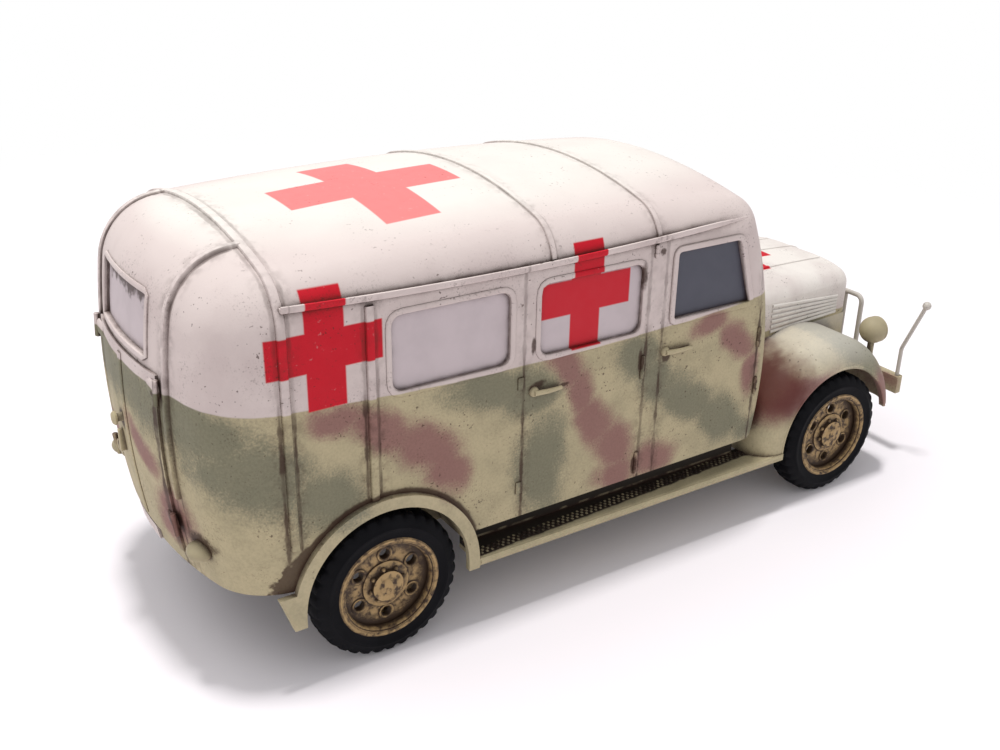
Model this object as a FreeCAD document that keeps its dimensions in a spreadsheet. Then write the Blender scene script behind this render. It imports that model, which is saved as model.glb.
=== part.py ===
import FreeCAD, Part

# A painted 1:72 scale model of a military ambulance truck that rolls on its wheels.
# Millimetres. While it is drawn, x runs forward from the rear axle, y to the left and z up
# from the floor. Each finished sub-part is then placed with the model's middle over the origin.
import math
import os
import re

import Sketcher

SIZES = (
    # wheels and axles
    ("wheel_base", 47.5, "rear axle to front axle"),
    ("tyre_radius", 6.0, "also the height of both axles"),
    ("tyre_width", 2.7, "across one tyre"),
    ("tyre_face_y", 13.8, "outer face of a tyre, from the middle"),
    ("tyre_shoulder", 0.55, "rounding of the tyre's outer corners"),
    ("rim_radius", 4.1, "where the tyre sits on its rim"),
    ("rim_wall", 0.35, "thickness of the rim's barrel"),
    ("disc_depth", 0.75, "how far the wheel disc is set back from the rim's edge"),
    ("disc_thick", 0.5, "wheel disc"),
    ("disc_hole_radius", 0.42, "round holes in the wheel disc"),
    ("disc_hole_circle", 2.55, "radius of the circle of holes"),
    ("hub_radius", 1.25, "hub barrel"),
    ("hub_cap_rise", 0.55, "how far the hub's cap stands out of the disc"),
    ("spindle_radius", 0.7, "fixed pin that carries a wheel"),
    ("spindle_gap", 0.05, "play between spindle and hub, all round"),
    ("fit_gap", 0.03, "play where one curved sheet passes close to another"),
    ("wheel_side_gap", 0.25, "play between a wheel and the axle's end"),
    ("spindle_reach", 1.89, "how far a spindle reaches into its wheel"),
    # body shell
    ("half_width", 13.6, "middle to the outside of the side walls"),
    ("wall", 0.9, "body walls and doors"),
    ("cut_margin", 3.0, "how far a cutting shape runs past what it cuts"),
    ("tail_overhang", 14.0, "rear axle to the tail's rearmost point"),
    ("tail_plan_bow", 36.0, "radius of the bowed tail in plan"),
    ("tail_side_bow", 60.0, "radius of the bowed tail in side view"),
    ("tail_bow_z", 19.0, "height of the tail's rearmost point"),
    ("cab_setback", 9.0, "front axle back to the cab's front"),
    ("screen_bow", 35.0, "radius of the cab front in side view"),
    ("screen_bow_z", 15.0, "height where the cab front is upright"),
    ("roof_z", 33.3, "top of the roof"),
    ("roof_crown", 42.0, "radius of the roof across"),
    ("roof_bow", 300.0, "radius of the roof along"),
    ("roof_peak_x", 12.0, "highest point of the roof"),
    ("roof_edge_radius", 3.3, "rounding between roof and sides"),
    ("roof_tail_radius", 5.0, "rounding between roof and tail"),
    ("tail_corner_radius", 5.0, "rounding of the tail's upright corners"),
    ("cab_corner_radius", 2.6, "rounding of the cab's upright corners"),
    ("skirt_tail_z", 8.1, "lower edge of the body at the tail"),
    ("skirt_front_z", 8.7, "lower edge of the body at the cab's front"),
    ("scuttle_foot_z", 9.8, "lower edge of the cab's front wall, over the chassis"),
    ("floor_z", 9.4, "underside of the floor, top of the chassis rails"),
    ("floor_thick", 0.7, "body floor"),
    ("floor_tail_gap", 2.6, "tail forward to the floor's rear edge"),
    ("floor_front_gap", 1.6, "cab front back to the floor's front edge"),
    ("rear_seam_setback", 7.1, "rear axle back to the seam where the tail begins"),
    ("tail_panel_half", 7.6, "middle to the bead beside the tail panel"),
    ("cant_z", 28.2, "top of doors and side panels"),
    ("cab_door_inset", 2.4, "cab front back to the cab door's front edge"),
    ("cab_door_length", 11.1, "at its foot"),
    ("cab_door_rake", 2.4, "how far the door's front edge leans back at its top"),
    ("cab_door_rake_z", 20.5, "where that edge begins to lean"),
    ("pillar_width", 1.6, "post between the two doors"),
    ("side_door_length", 11.7, "along the model"),
    ("roof_seam_lead", 2.5, "side door's rear edge forward to the middle roof seam"),
    ("cab_seam_lag", 0.7, "cab door's rear edge back to the front roof seam"),
    # windows
    ("pane_thick", 0.35, "window panes"),
    ("pane_recess", 0.3, "panes lie this far below the wall's outside"),
    ("window_corner", 0.9, "rounding of the window corners"),
    ("sill_z", 21.7, "lower edge of the side windows"),
    ("window_top_z", 27.4, "upper edge of the side windows"),
    ("side_window_length", 9.7, "window behind the side door"),
    ("side_window_margin", 1.25, "side door's rear edge back to the side window"),
    ("door_window_length", 9.6, "window in the side door"),
    ("door_window_margin", 1.4, "side door's rear edge forward to its window"),
    ("cab_window_margin", 1.1, "cab door's rear edge forward to its window"),
    ("cab_window_sill_length", 8.3, "cab door's window at its lower edge"),
    ("cab_window_top_length", 6.5, "cab door's window at its upper edge"),
    ("cab_sill_z", 22.1, "lower edge of the cab door's window"),
    ("cab_window_top_z", 27.7, "upper edge of the cab door's window"),
    ("screen_half", 10.3, "middle to the outer edge of the windscreen"),
    ("screen_post", 0.8, "post in the middle of the windscreen"),
    ("screen_sill_z", 21.9, "lower edge of the windscreen"),
    ("screen_top_z", 27.5, "upper edge of the windscreen"),
    ("tail_window_half", 4.8, "half width of the tail window"),
    ("tail_window_sill_z", 24.4, "lower edge of the tail window"),
    ("tail_window_top_z", 28.7, "upper edge of the tail window"),
    # tail doors
    ("tail_door_half", 6.6, "middle to the hinged edge of a tail door"),
    ("tail_door_top_z", 23.6, "upper edge of the tail doors"),
    ("tail_door_foot_z", 9.5, "lower edge of the tail doors"),
    ("tail_door_proud", 0.2, "how far the tail doors stand out of the tail"),
    # rear wheel arches
    ("arch_radius", 6.75, "wheel opening, round the axle"),
    ("arch_lip", 0.95, "width of the lip round the opening"),
    ("arch_proud", 0.5, "how far the lip stands out of the side"),
    ("arch_foot_z", 5.2, "lower ends of the lip"),
    ("arch_splash", 1.0, "length of the splash plate behind the lip"),
    ("well_y", 9.9, "inner wall of the wheel well"),
    ("well_skin", 0.4, "sheet of the wheel well"),
    # running boards
    ("board_z", 6.0, "top of the running boards"),
    ("board_thick", 0.6, "running board"),
    ("board_edge_y", 14.1, "outer edge of a running board"),
    ("board_inner_y", 11.0, "inner edge of a running board"),
    ("board_apron", 0.4, "upright sheet between board and floor"),
    ("board_front_lag", 6.9, "front axle back to a running board's front end"),
    # front fenders
    ("fender_radius", 9.4, "fender's outside in side view"),
    ("fender_lag", 0.6, "fender's centre behind the front axle"),
    ("fender_face_y", 13.95, "outer face of a fender, from the middle"),
    ("fender_edge_radius", 2.6, "rounding between the fender's top and its outer face"),
    ("fender_skin", 0.5, "sheet of the fender"),
    ("fender_root_y", 6.0, "inner end of the fender's rounded form, from the middle"),
    ("fender_opening", 6.85, "wheel opening, round the axle"),
    ("fender_tip_z", 7.4, "lower edge of the fender's nose"),
    # bonnet and radiator
    ("bonnet_tail_half", 8.4, "half width at the cab"),
    ("bonnet_nose_half", 6.9, "half width at the nose"),
    ("nose_lead", 8.7, "front axle forward to the nose"),
    ("taper_lead", 1.0, "nose forward to where the bonnet's sides reach their nose width"),
    ("nose_bow", 25.0, "radius of the nose in plan"),
    ("bonnet_z", 20.4, "top of the bonnet"),
    ("bonnet_crown", 32.0, "radius of the bonnet across"),
    ("bonnet_bow", 150.0, "radius of the bonnet along"),
    ("bonnet_peak_lag", 5.5, "front axle back to the bonnet's highest point"),
    ("bonnet_edge_radius", 1.7, "rounding between the bonnet's top and sides"),
    ("nose_edge_radius", 3.0, "rounding between the bonnet's top and the nose"),
    ("nose_corner_radius", 1.8, "rounding of the nose's upright corners"),
    ("bonnet_wall", 0.6, "bonnet and its sides"),
    ("bonnet_side_top_z", 18.2, "seam between bonnet top and side"),
    ("bonnet_side_foot_z", 14.9, "lower edge of the bonnet's sides"),
    ("radiator_depth", 1.5, "nose back to the radiator's rear"),
    ("radiator_top_z", 16.6, "seam between bonnet and radiator shell"),
    ("grille_half", 5.5, "half width of the grille"),
    ("grille_foot_z", 10.4, "lower edge of the grille"),
    ("grille_top_z", 15.8, "upper edge of the grille"),
    ("grille_depth", 1.0, "opening in the radiator's face"),
    ("grille_recess", 0.4, "grille behind the radiator's face"),
    # fittings at the front
    ("bumper_lead", 12.3, "front axle forward to the bumper's face"),
    ("bumper_half", 11.6, "half length of the bumper"),
    ("bumper_foot_z", 6.7, "lower edge of the bumper"),
    ("bumper_height", 1.75, "lower edge to upper edge"),
    ("bumper_thick", 0.9, "rear face to front face"),
    ("bumper_corner_radius", 0.35, "rounding of the bumper's ends"),
    ("guard_lead", 9.6, "front axle forward to the radiator guard"),
    ("guard_step", 2.05, "from one post of the guard to the next"),
    ("guard_top_z", 16.1, "middle of the hoop's top bar"),
    ("guard_tube_radius", 0.24, "hoop of the radiator guard"),
    ("guard_post_radius", 0.2, "upright of the radiator guard"),
    ("guard_bar_radius", 0.22, "lower bar of the radiator guard"),
    ("guard_bar_rise", 0.5, "lower bar above the chassis rails"),
    ("guard_bend", 0.7, "bend radius at the guard's upper corners"),
    ("lamp_lead", 6.8, "front axle forward to the headlamps"),
    ("lamp_y", 11.2, "middle to a headlamp"),
    ("lamp_z", 14.5, "height of the headlamps"),
    ("lamp_radius", 1.3, "headlamp's ball"),
    ("lamp_face_lead", 0.45, "middle of a headlamp forward to its lens"),
    ("lamp_stalk_radius", 0.32, "stalk that carries a headlamp"),
    ("lens_radius", 1.07, "headlamp lens"),
    ("lens_thick", 0.26, "headlamp lens"),
    ("rod_y", 11.1, "width rod, at its foot"),
    ("rod_tip_y", 13.1, "width rod, at its tip"),
    ("rod_bend_z", 11.4, "height where a width rod bends"),
    ("rod_tip_z", 16.6, "height of a width rod's tip"),
    ("rod_radius", 0.2, "width rod"),
    ("rod_bend_radius", 1.5, "bend of a width rod"),
    ("rod_knob_radius", 0.42, "ball on a width rod's tip"),
    # chassis
    ("rail_inner_y", 4.7, "middle to the inside of a chassis rail"),
    ("rail_width", 0.8, "across one chassis rail"),
    ("rail_foot_z", 7.4, "underside of the chassis rails"),
    ("rail_setback", 3.2, "tail forward to the rails' rear ends"),
    ("cross_member_depth", 0.9, "height of a cross member"),
    ("cross_member_lead", 6.0, "rear axle forward to the second cross member"),
    ("axle_beam_radius", 0.6, "front axle"),
    ("axle_tube_radius", 0.75, "rear axle"),
    ("differential_radius", 1.8, "housing in the middle of the rear axle"),
    ("knuckle_radius", 0.95, "kingpin housing of a front knuckle"),
    ("knuckle_height", 2.4, "kingpin housing, foot to top"),
    ("knuckle_flange_radius", 0.82, "shoulder between kingpin housing and spindle"),
    ("spring_half", 5.2, "half length of a leaf spring"),
    ("spring_thick", 0.5, "height of a leaf spring"),
    ("shaft_radius", 0.45, "propeller shaft"),
    ("shaft_rise", 0.7, "shaft's front end above the gearbox's underside"),
    ("flange_radius", 0.8, "nose of the differential"),
    ("flange_reach", 0.7, "how far that nose stands out of the differential"),
    ("gearbox_lag", 13.5, "front axle back to the gearbox's rear face"),
    ("gearbox_length", 7.0, "along the model"),
    ("gearbox_half", 2.1, "half its width"),
    ("gearbox_foot_z", 7.0, "underside of the gearbox"),
    ("gearbox_gap", 0.1, "between gearbox and floor"),
    ("engine_length", 12.0, "along the model"),
    ("engine_half", 3.0, "half its width"),
    ("engine_foot_z", 7.1, "underside of the engine"),
    ("engine_top_z", 15.5, "top of the engine"),
    ("silencer_radius", 0.85, "exhaust silencer"),
    ("silencer_length", 9.0, "along the model"),
    ("pipe_radius", 0.32, "exhaust pipe"),
    ("pipe_lead", 2.0, "rear wheel opening forward to the exhaust's rear end"),
    ("pipe_y", 6.6, "middle to the exhaust"),
    ("tank_length", 6.5, "along the model"),
    ("tank_gap", 1.2, "between differential and fuel tank"),
    ("tank_foot_z", 6.9, "underside of the fuel tank"),
    # small fittings
    ("gutter_z", 28.85, "lower edge of the roof gutters"),
    ("gutter_height", 0.35, "lower edge to upper edge"),
    ("gutter_proud", 0.35, "how far the gutters stand out of the side"),
    ("handle_length", 2.8, "side door and cab door handles"),
    ("handle_proud", 0.55, "how far a handle stands out of its door"),
    ("handle_thick", 0.4, "height of a handle"),
    ("side_handle_lead", 0.9, "side door's rear edge forward to its handle"),
    ("cab_handle_lead", 0.4, "cab door's rear edge forward to its handle"),
    ("side_handle_z", 18.9, "middle of the side door's handle"),
    ("cab_handle_z", 19.4, "middle of the cab door's handle"),
    ("tail_fitting_reach", 0.6, "how far the tail door's knob stands out of the tail"),
    ("knob_y", 0.85, "middle to the tail door's knob"),
    ("knob_z", 17.6, "height of the tail door's knob"),
    ("knob_radius", 0.5, "tail door's knob"),
    ("latch_z", 15.4, "middle of the upright latch below the knob"),
    ("latch_height", 1.8, "upright latch on the tail door"),
    ("tail_lamp_z", 10.95, "height of the tail lamps"),
    ("tail_lamp_y", 9.25, "middle to the tail lamps"),
    ("tail_lamp_half", 1.15, "half width of a tail lamp"),
    ("tail_lamp_radius", 0.65, "half height of a tail lamp"),
    ("tail_lamp_setback", 0.6, "tail forward to the rear face of its lamps"),
    ("plate_y", 0.35, "middle to the blank number plate's middle"),
    ("plate_half", 2.1, "half length of the blank number plate"),
    ("plate_height", 1.2, "blank number plate"),
    ("plate_z", 8.1, "lower edge of the number plate"),
    ("plate_thick", 0.2, "number plate"),
)

# Places along the model that several sub-parts share.
CAB_FRONT = "(wheel_base - cab_setback)"
CAB_DOOR_FRONT = f"({CAB_FRONT} - cab_door_inset)"
CAB_DOOR_REAR = f"({CAB_DOOR_FRONT} - cab_door_length)"
SIDE_DOOR_FRONT = f"({CAB_DOOR_REAR} - pillar_width)"
SIDE_DOOR_REAR = f"({SIDE_DOOR_FRONT} - side_door_length)"
ROOF_SEAM = f"({SIDE_DOOR_REAR} + roof_seam_lead)"
CAB_ROOF_SEAM = f"({CAB_DOOR_REAR} - cab_seam_lag)"
REAR_SEAM = "(-rear_seam_setback)"
TAIL = "(-tail_overhang)"
FLOOR_TOP = "(floor_z + floor_thick)"
FENDER_X = "(wheel_base - fender_lag)"
FENDER_REAR = f"({FENDER_X} - fender_radius)"
BOARD_FRONT = "(wheel_base - board_front_lag)"
NOSE = "(wheel_base + nose_lead)"
TAPER_END = f"({NOSE} + taper_lead)"
RADIATOR_REAR = f"({NOSE} - radiator_depth)"
BUMPER_REAR = "(wheel_base + bumper_lead - bumper_thick)"
BUMPER_MIDDLE = "(wheel_base + bumper_lead - bumper_thick / 2)"
BUMPER_TOP = "(bumper_foot_z + bumper_height)"
RAIL_OUTER_Y = "(rail_inner_y + rail_width)"
GUARD_X = "(wheel_base + guard_lead)"
GUARD_POSTS = 6
GUARD_OUTER_Y = f"(guard_step * ({GUARD_POSTS} + 1) / 2)"
WHEEL_INNER_Y = "(tyre_face_y - tyre_width)"
AXLE_END_Y = f"({WHEEL_INNER_Y} - wheel_side_gap)"
GEARBOX_REAR = "(wheel_base - gearbox_lag)"
ENGINE_REAR = f"({GEARBOX_REAR} + gearbox_length)"
# How far cutting shapes run past the body and the bonnet.
BEHIND_TAIL = f"({TAIL} - cut_margin)"
AHEAD_OF_CAB = f"({CAB_FRONT} + cut_margin)"
AHEAD_OF_NOSE = f"({NOSE} + cut_margin)"
PAST_SIDE = "(half_width + cut_margin)"
BELOW_SKIRT = "(skirt_tail_z - cut_margin)"
ABOVE_ROOF = "(roof_z + cut_margin)"
ABOVE_BONNET = "(bonnet_z + cut_margin)"
MIDDLE = "((wheel_base + bumper_lead - tail_overhang - tail_fitting_reach) / 2)"

doc = FreeCAD.newDocument("ambulance_model")
sheet = doc.addObject("Spreadsheet::Sheet", "sizes")
for row, (alias, value, meaning) in enumerate(SIZES, start=1):
    sheet.set(f"A{row}", alias)
    sheet.set(f"B{row}", str(value))
    sheet.set(f"C{row}", meaning)
    sheet.setAlias(f"B{row}", alias)
doc.recompute()
ALIASES = {alias for alias, _, _ in SIZES}
Vector = FreeCAD.Vector
ALONG = {
    "x": FreeCAD.Rotation(Vector(0, 1, 0), 90),
    "y": FreeCAD.Rotation(Vector(1, 0, 0), -90),
    "z": FreeCAD.Rotation(),
}
UPRIGHT = FreeCAD.Rotation(Vector(1, 0, 0), 90)
ACROSS = FreeCAD.Rotation(1 / 2, 1 / 2, 1 / 2, 1 / 2)
nodes = []


def cell(text):
    """Turn size names in an expression into references to the sheet."""
    return re.sub(r"[a-z_]+", lambda m: f"sizes.{m[0]}" if m[0] in ALIASES else m[0], str(text))


def number(text):
    """The value of an expression, for places that take no expression."""
    return float(sheet.evalExpression(cell(text)))


def point(x, y, z):
    return Vector(number(x), number(y), number(z))


def bind(item, place, text):
    item.setExpression(place, cell(text))


def put(item, x=0, y=0, z=0):
    for axis, text in (("x", x), ("y", y), ("z", z)):
        bind(item, f"Placement.Base.{axis}", text)
    return item


def brick(name, x_span, y_span, z_span):
    """A box between two places on each axis."""
    box = doc.addObject("Part::Box", name)
    spans = (("Length", x_span), ("Width", y_span), ("Height", z_span))
    for size, (low, high) in spans:
        bind(box, size, f"({high}) - ({low})")
    return put(box, x_span[0], y_span[0], z_span[0])


def bar(name, axis, radius, length, start):
    """A cylinder that runs from start along an axis."""
    rod = doc.addObject("Part::Cylinder", name)
    bind(rod, "Radius", radius)
    bind(rod, "Height", length)
    rod.Placement.Rotation = ALONG[axis]
    return put(rod, *start)


def strut(name, radius, start, end):
    """A cylinder between two points, each given by three expressions."""
    rod = doc.addObject("Part::Cylinder", name)
    bind(rod, "Radius", radius)
    first, last = point(*start), point(*end)
    rod.Height = (last - first).Length
    rod.Placement = FreeCAD.Placement(first, FreeCAD.Rotation(Vector(0, 0, 1), last - first))
    return rod


def ball(name, radius, centre):
    sphere = doc.addObject("Part::Sphere", name)
    bind(sphere, "Radius", radius)
    return put(sphere, *centre)


def outline(name, plane, corners):
    """A closed sketch whose corners are expressions. Plane xz, xy or yz names its two axes."""
    sketch = doc.addObject("Sketcher::SketchObject", name)
    sketch.Placement.Rotation = {"xz": UPRIGHT, "xy": FreeCAD.Rotation(), "yz": ACROSS}[plane]
    places = [(number(u), number(v)) for u, v in corners]
    count = len(places)
    for i, (u, v) in enumerate(places):
        end_u, end_v = places[(i + 1) % count]
        sketch.addGeometry(Part.LineSegment(Vector(u, v, 0), Vector(end_u, end_v, 0)))
    for i in range(count):
        sketch.addConstraint(Sketcher.Constraint("Coincident", i, 2, (i + 1) % count, 1))
    for i, (corner, place) in enumerate(zip(corners, places)):
        for kind, text, value in zip(("DistanceX", "DistanceY"), corner, place):
            index = sketch.addConstraint(Sketcher.Constraint(kind, -1, 1, i, 1, value))
            bind(sketch, f"Constraints[{index}]", text)
    return sketch


def prism(name, plane, corners, span):
    """An outline pushed along the axis that its plane leaves out, between two places."""
    sketch = outline(name + "_sketch", plane, corners)
    axis = ({"x", "y", "z"} - set(plane)).pop()
    bind(sketch, f"Placement.Base.{axis}", span[0])
    solid = doc.addObject("Part::Extrusion", name)
    solid.Base = sketch
    solid.DirMode = "Custom"
    solid.Dir = {"x": Vector(1, 0, 0), "y": Vector(0, 1, 0), "z": Vector(0, 0, 1)}[axis]
    solid.Solid = True
    bind(solid, "LengthFwd", f"({span[1]}) - ({span[0]})")
    return solid


def fuse(name, *parts):
    whole = doc.addObject("Part::MultiFuse", name)
    whole.Shapes = list(parts)
    whole.Refine = True
    return whole


def common(name, *parts):
    whole = doc.addObject("Part::MultiCommon", name)
    whole.Shapes = list(parts)
    return whole


def cut(name, base, *tools):
    rest = doc.addObject("Part::Cut", name)
    rest.Base = base
    rest.Tool = tools[0] if len(tools) == 1 else fuse(name + "_tools", *tools)
    return rest


# An edge counts as being somewhere when it is this near, in millimetres.
NEAR = 0.01


def runs_along(edge, axis):
    return abs(getattr(edge.tangentAt(edge.FirstParameter), axis)) > 1 - NEAR


def middle_of(edge):
    return edge.valueAt((edge.FirstParameter + edge.LastParameter) / 2)


def rounded(name, base, wanted, radius_at):
    """Fillet the wanted edges. Radii may differ between ends: a chain of edges runs one way round."""
    doc.recompute()
    picked = [(i, edge) for i, edge in enumerate(base.Shape.Edges, start=1) if wanted(edge)]
    middle = base.Shape.BoundBox.Center

    def ends_of(edge):
        return edge.valueAt(edge.FirstParameter), edge.valueAt(edge.LastParameter)

    def turns_left(edge):
        start, end = ends_of(edge)
        return (start - middle).cross(end - middle).z > 0

    chain_turns_left = turns_left(picked[0][1])
    fillets = []
    for i, edge in picked:
        start, end = ends_of(edge)
        if turns_left(edge) != chain_turns_left:
            start, end = end, start
        fillets.append((i, radius_at(start), radius_at(end)))
    fillet = doc.addObject("Part::Fillet", name)
    fillet.Base = base
    fillet.Edges = fillets
    return fillet


def same(radius):
    """One radius at both ends of every edge."""
    amount = number(radius)
    return lambda end: amount


def node(label, *pieces):
    """Name a finished sub-part and place it with the model's middle over the origin."""
    whole = doc.addObject("Part::Compound", label)
    whole.Links = list(pieces)
    whole.Label = label
    nodes.append(whole)
    return put(whole, f"-{MIDDLE}")


def node_pair(label, *left):
    """Left-hand pieces and their twins on the right, as one sub-part."""
    return node(label, *left, *[twin_of(piece) for piece in left])


def mirrored(label, source):
    """The right-hand twin of a left-hand sub-part."""
    twin = doc.addObject("Part::Mirroring", label)
    twin.Source = source
    twin.Normal = Vector(0, 1, 0)
    twin.Label = label
    nodes.append(twin)
    return twin


def twin_of(piece):
    """A left-hand piece's mirror image on the right."""
    twin = doc.addObject("Part::Mirroring", piece.Name + "_twin")
    twin.Source = piece
    twin.Normal = Vector(0, 1, 0)
    return twin


# ---------------------------------------------------------------- body shell
FULL_Y = ("-half_width - 1", PAST_SIDE)
LEFT_Y = ("half_width - tail_corner_radius", PAST_SIDE)
FULL_Z = (BELOW_SKIRT, ABOVE_ROOF)
SIDE_Z = (BELOW_SKIRT, "cant_z")
ROOF_Z = ("cant_z", ABOVE_ROOF)
TAIL_X = (BEHIND_TAIL, f"{TAIL} + tail_corner_radius")


def barrel(name, long_bow, cross_bow, offset, centre):
    """A barrel that lies across the model: long_bow in side view, cross_bow over its crown."""
    core, bow = f"{long_bow} - {cross_bow}", f"{cross_bow} + ({offset})"
    reach, radius = number(core), number(bow)
    sketch = doc.addObject("Sketcher::SketchObject", name + "_sketch")
    circle = Part.Circle(Vector(reach, 0, 0), Vector(0, 0, 1), radius)
    sketch.addGeometry(Part.ArcOfCircle(circle, -math.pi / 2, math.pi / 2))
    corners = [Vector(x, y, 0) for x, y in ((reach, radius), (0, radius), (0, -radius), (reach, -radius))]
    for start, end in zip(corners, corners[1:]):
        sketch.addGeometry(Part.LineSegment(start, end))
    for kind, *where in (
        ("Coincident", 0, 2, 1, 1),
        ("Coincident", 1, 2, 2, 1),
        ("Coincident", 2, 2, 3, 1),
        ("Coincident", 3, 2, 0, 1),
        ("Horizontal", 1),
        ("Horizontal", 3),
        ("PointOnObject", 2, 1, -2),
        ("PointOnObject", 2, 2, -2),
        ("PointOnObject", 0, 3, -1),
        ("Vertical", 0, 1, 0, 3),
        ("Vertical", 0, 2, 0, 3),
    ):
        sketch.addConstraint(Sketcher.Constraint(kind, *where))
    place = sketch.addConstraint(Sketcher.Constraint("DistanceX", -1, 1, 0, 3, reach))
    bind(sketch, f"Constraints[{place}]", core)
    size = sketch.addConstraint(Sketcher.Constraint("Radius", 0, radius))
    bind(sketch, f"Constraints[{size}]", bow)
    solid = doc.addObject("Part::Revolution", name)
    solid.Source = sketch
    solid.Axis = Vector(0, 1, 0)
    solid.Angle = 360
    solid.Solid = True
    return put(solid, centre[0], 0, centre[1])


def bowed_tail(name, offset):
    """The tail's bowed face, moved outwards by offset."""
    centre = (f"{TAIL} + tail_side_bow", "tail_bow_z")
    return barrel(name + "_tail", "tail_side_bow", "tail_plan_bow", offset, centre)


def tail_layer(name, outside, inside):
    """A sheet that follows the tail between two offsets."""
    behind = cut(name, bowed_tail(name + "_outside", outside), bowed_tail(name + "_inside", inside))
    return common(name + "_sheet", behind, brick(name + "_zone", TAIL_X, FULL_Y, FULL_Z))


def hull(name, inset):
    """The body's outer form, or the same form drawn in by inset: bowed tail, crowned roof."""
    half = f"(half_width - {inset})"
    low, high = BELOW_SKIRT, ABOVE_ROOF
    block = brick(name + "_block", (BEHIND_TAIL, AHEAD_OF_CAB), (f"-{half}", half), (low, high))
    tail_zone = brick(name + "_tail_zone", TAIL_X, FULL_Y, FULL_Z)
    behind = cut(name + "_behind", tail_zone, bowed_tail(name, f"-{inset}"))
    front_axis = (f"{CAB_FRONT} - screen_bow", "-half_width - cut_margin", "screen_bow_z")
    front = bar(name + "_front", "y", f"screen_bow - {inset}", "2 * half_width + 2 * cut_margin", front_axis)
    roof = barrel(name + "_roof", "roof_bow", "roof_crown", f"-{inset}", ("roof_peak_x", "roof_z - roof_bow"))
    form = cut(name + "_form", common(name + "_blank", block, front, roof), behind)

    side_y = number(half)
    waist_x = number("roof_peak_x")
    roof_low = number("cant_z")
    tail_radius = number(f"tail_corner_radius - {inset}")
    cab_radius = number(f"cab_corner_radius - {inset}")
    edge_radius = number(f"roof_edge_radius - {inset}")
    crest_radius = number(f"roof_tail_radius - {inset}")

    def is_corner(edge):
        on_side = abs(abs(middle_of(edge).y) - side_y) < NEAR
        return on_side and edge.BoundBox.ZLength > side_y / 2

    def is_roof_edge(edge):
        return middle_of(edge).z > roof_low

    def corner_radius(end):
        return tail_radius if end.x < waist_x else cab_radius

    def roof_radius(end):
        return crest_radius if end.x < 0 and abs(end.y) < side_y - 1 else edge_radius

    corners = rounded(name + "_corners", form, is_corner, corner_radius)
    return rounded(name, corners, is_roof_edge, roof_radius)


outer = hull("outer_form", "0")
inner = hull("inner_form", "wall")
below = prism(
    "below_skirt",
    "xz",
    (
        (BEHIND_TAIL, "skirt_tail_z - 2 * cut_margin"),
        (AHEAD_OF_CAB, "skirt_tail_z - 2 * cut_margin"),
        (AHEAD_OF_CAB, "skirt_front_z"),
        (BEHIND_TAIL, "skirt_tail_z"),
    ),
    ("-half_width - cut_margin", PAST_SIDE),
)
shell = cut("shell", outer, inner, below)


def window(name, x_span, z_span):
    """A hole with rounded corners, through the left-hand side wall."""
    hole = brick(name, x_span, ("half_width - 2 * wall", PAST_SIDE), z_span)
    return rounded(name + "_hole", hole, lambda edge: runs_along(edge, "y"), same("window_corner"))


pane_layer = brick(
    "pane_layer",
    (TAIL, CAB_FRONT),
    ("half_width - pane_recess - pane_thick", "half_width - pane_recess"),
    FULL_Z,
)
arch_hole = bar("arch_hole", "y", "arch_radius + well_skin", "half_width", (0, "well_y", "tyre_radius"))

side_window_front = f"{SIDE_DOOR_REAR} - side_window_margin"
side_window = window(
    "side_window",
    (f"{side_window_front} - side_window_length", side_window_front),
    ("sill_z", "window_top_z"),
)
side_zone = brick("side_zone", (REAR_SEAM, SIDE_DOOR_REAR), LEFT_Y, SIDE_Z)
side_panel = cut("side_panel", common("side_wall", shell, side_zone), side_window, arch_hole)
side_glass = common("side_glass", side_window, pane_layer)

door_window_rear = f"{SIDE_DOOR_REAR} + door_window_margin"
door_window = window(
    "door_window",
    (door_window_rear, f"{door_window_rear} + door_window_length"),
    ("sill_z", "window_top_z"),
)
door_zone = brick("door_zone", (SIDE_DOOR_REAR, SIDE_DOOR_FRONT), LEFT_Y, SIDE_Z)
side_door = cut("side_door", common("side_door_wall", shell, door_zone), door_window)
door_glass = common("door_glass", door_window, pane_layer)

pillar_zone = brick("pillar_zone", (SIDE_DOOR_FRONT, CAB_DOOR_REAR), LEFT_Y, SIDE_Z)
pillar = common("pillar", shell, pillar_zone)

cab_door_edge = (
    (CAB_DOOR_FRONT, BELOW_SKIRT),
    (CAB_DOOR_FRONT, "cab_door_rake_z"),
    (f"{CAB_DOOR_FRONT} - cab_door_rake", "cant_z"),
)
cab_door_zone = prism(
    "cab_door_zone",
    "xz",
    (*cab_door_edge, (CAB_DOOR_REAR, "cant_z"), (CAB_DOOR_REAR, BELOW_SKIRT)),
    LEFT_Y,
)
cab_window_rear = f"{CAB_DOOR_REAR} + cab_window_margin"
cab_window = prism(
    "cab_window",
    "xz",
    (
        (cab_window_rear, "cab_sill_z"),
        (f"{cab_window_rear} + cab_window_sill_length", "cab_sill_z"),
        (f"{cab_window_rear} + cab_window_top_length", "cab_window_top_z"),
        (cab_window_rear, "cab_window_top_z"),
    ),
    ("half_width - 2 * wall", PAST_SIDE),
)
cab_door = cut("cab_door", common("cab_door_wall", shell, cab_door_zone), cab_window)
cab_glass = common("cab_glass", cab_window, pane_layer)

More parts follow.
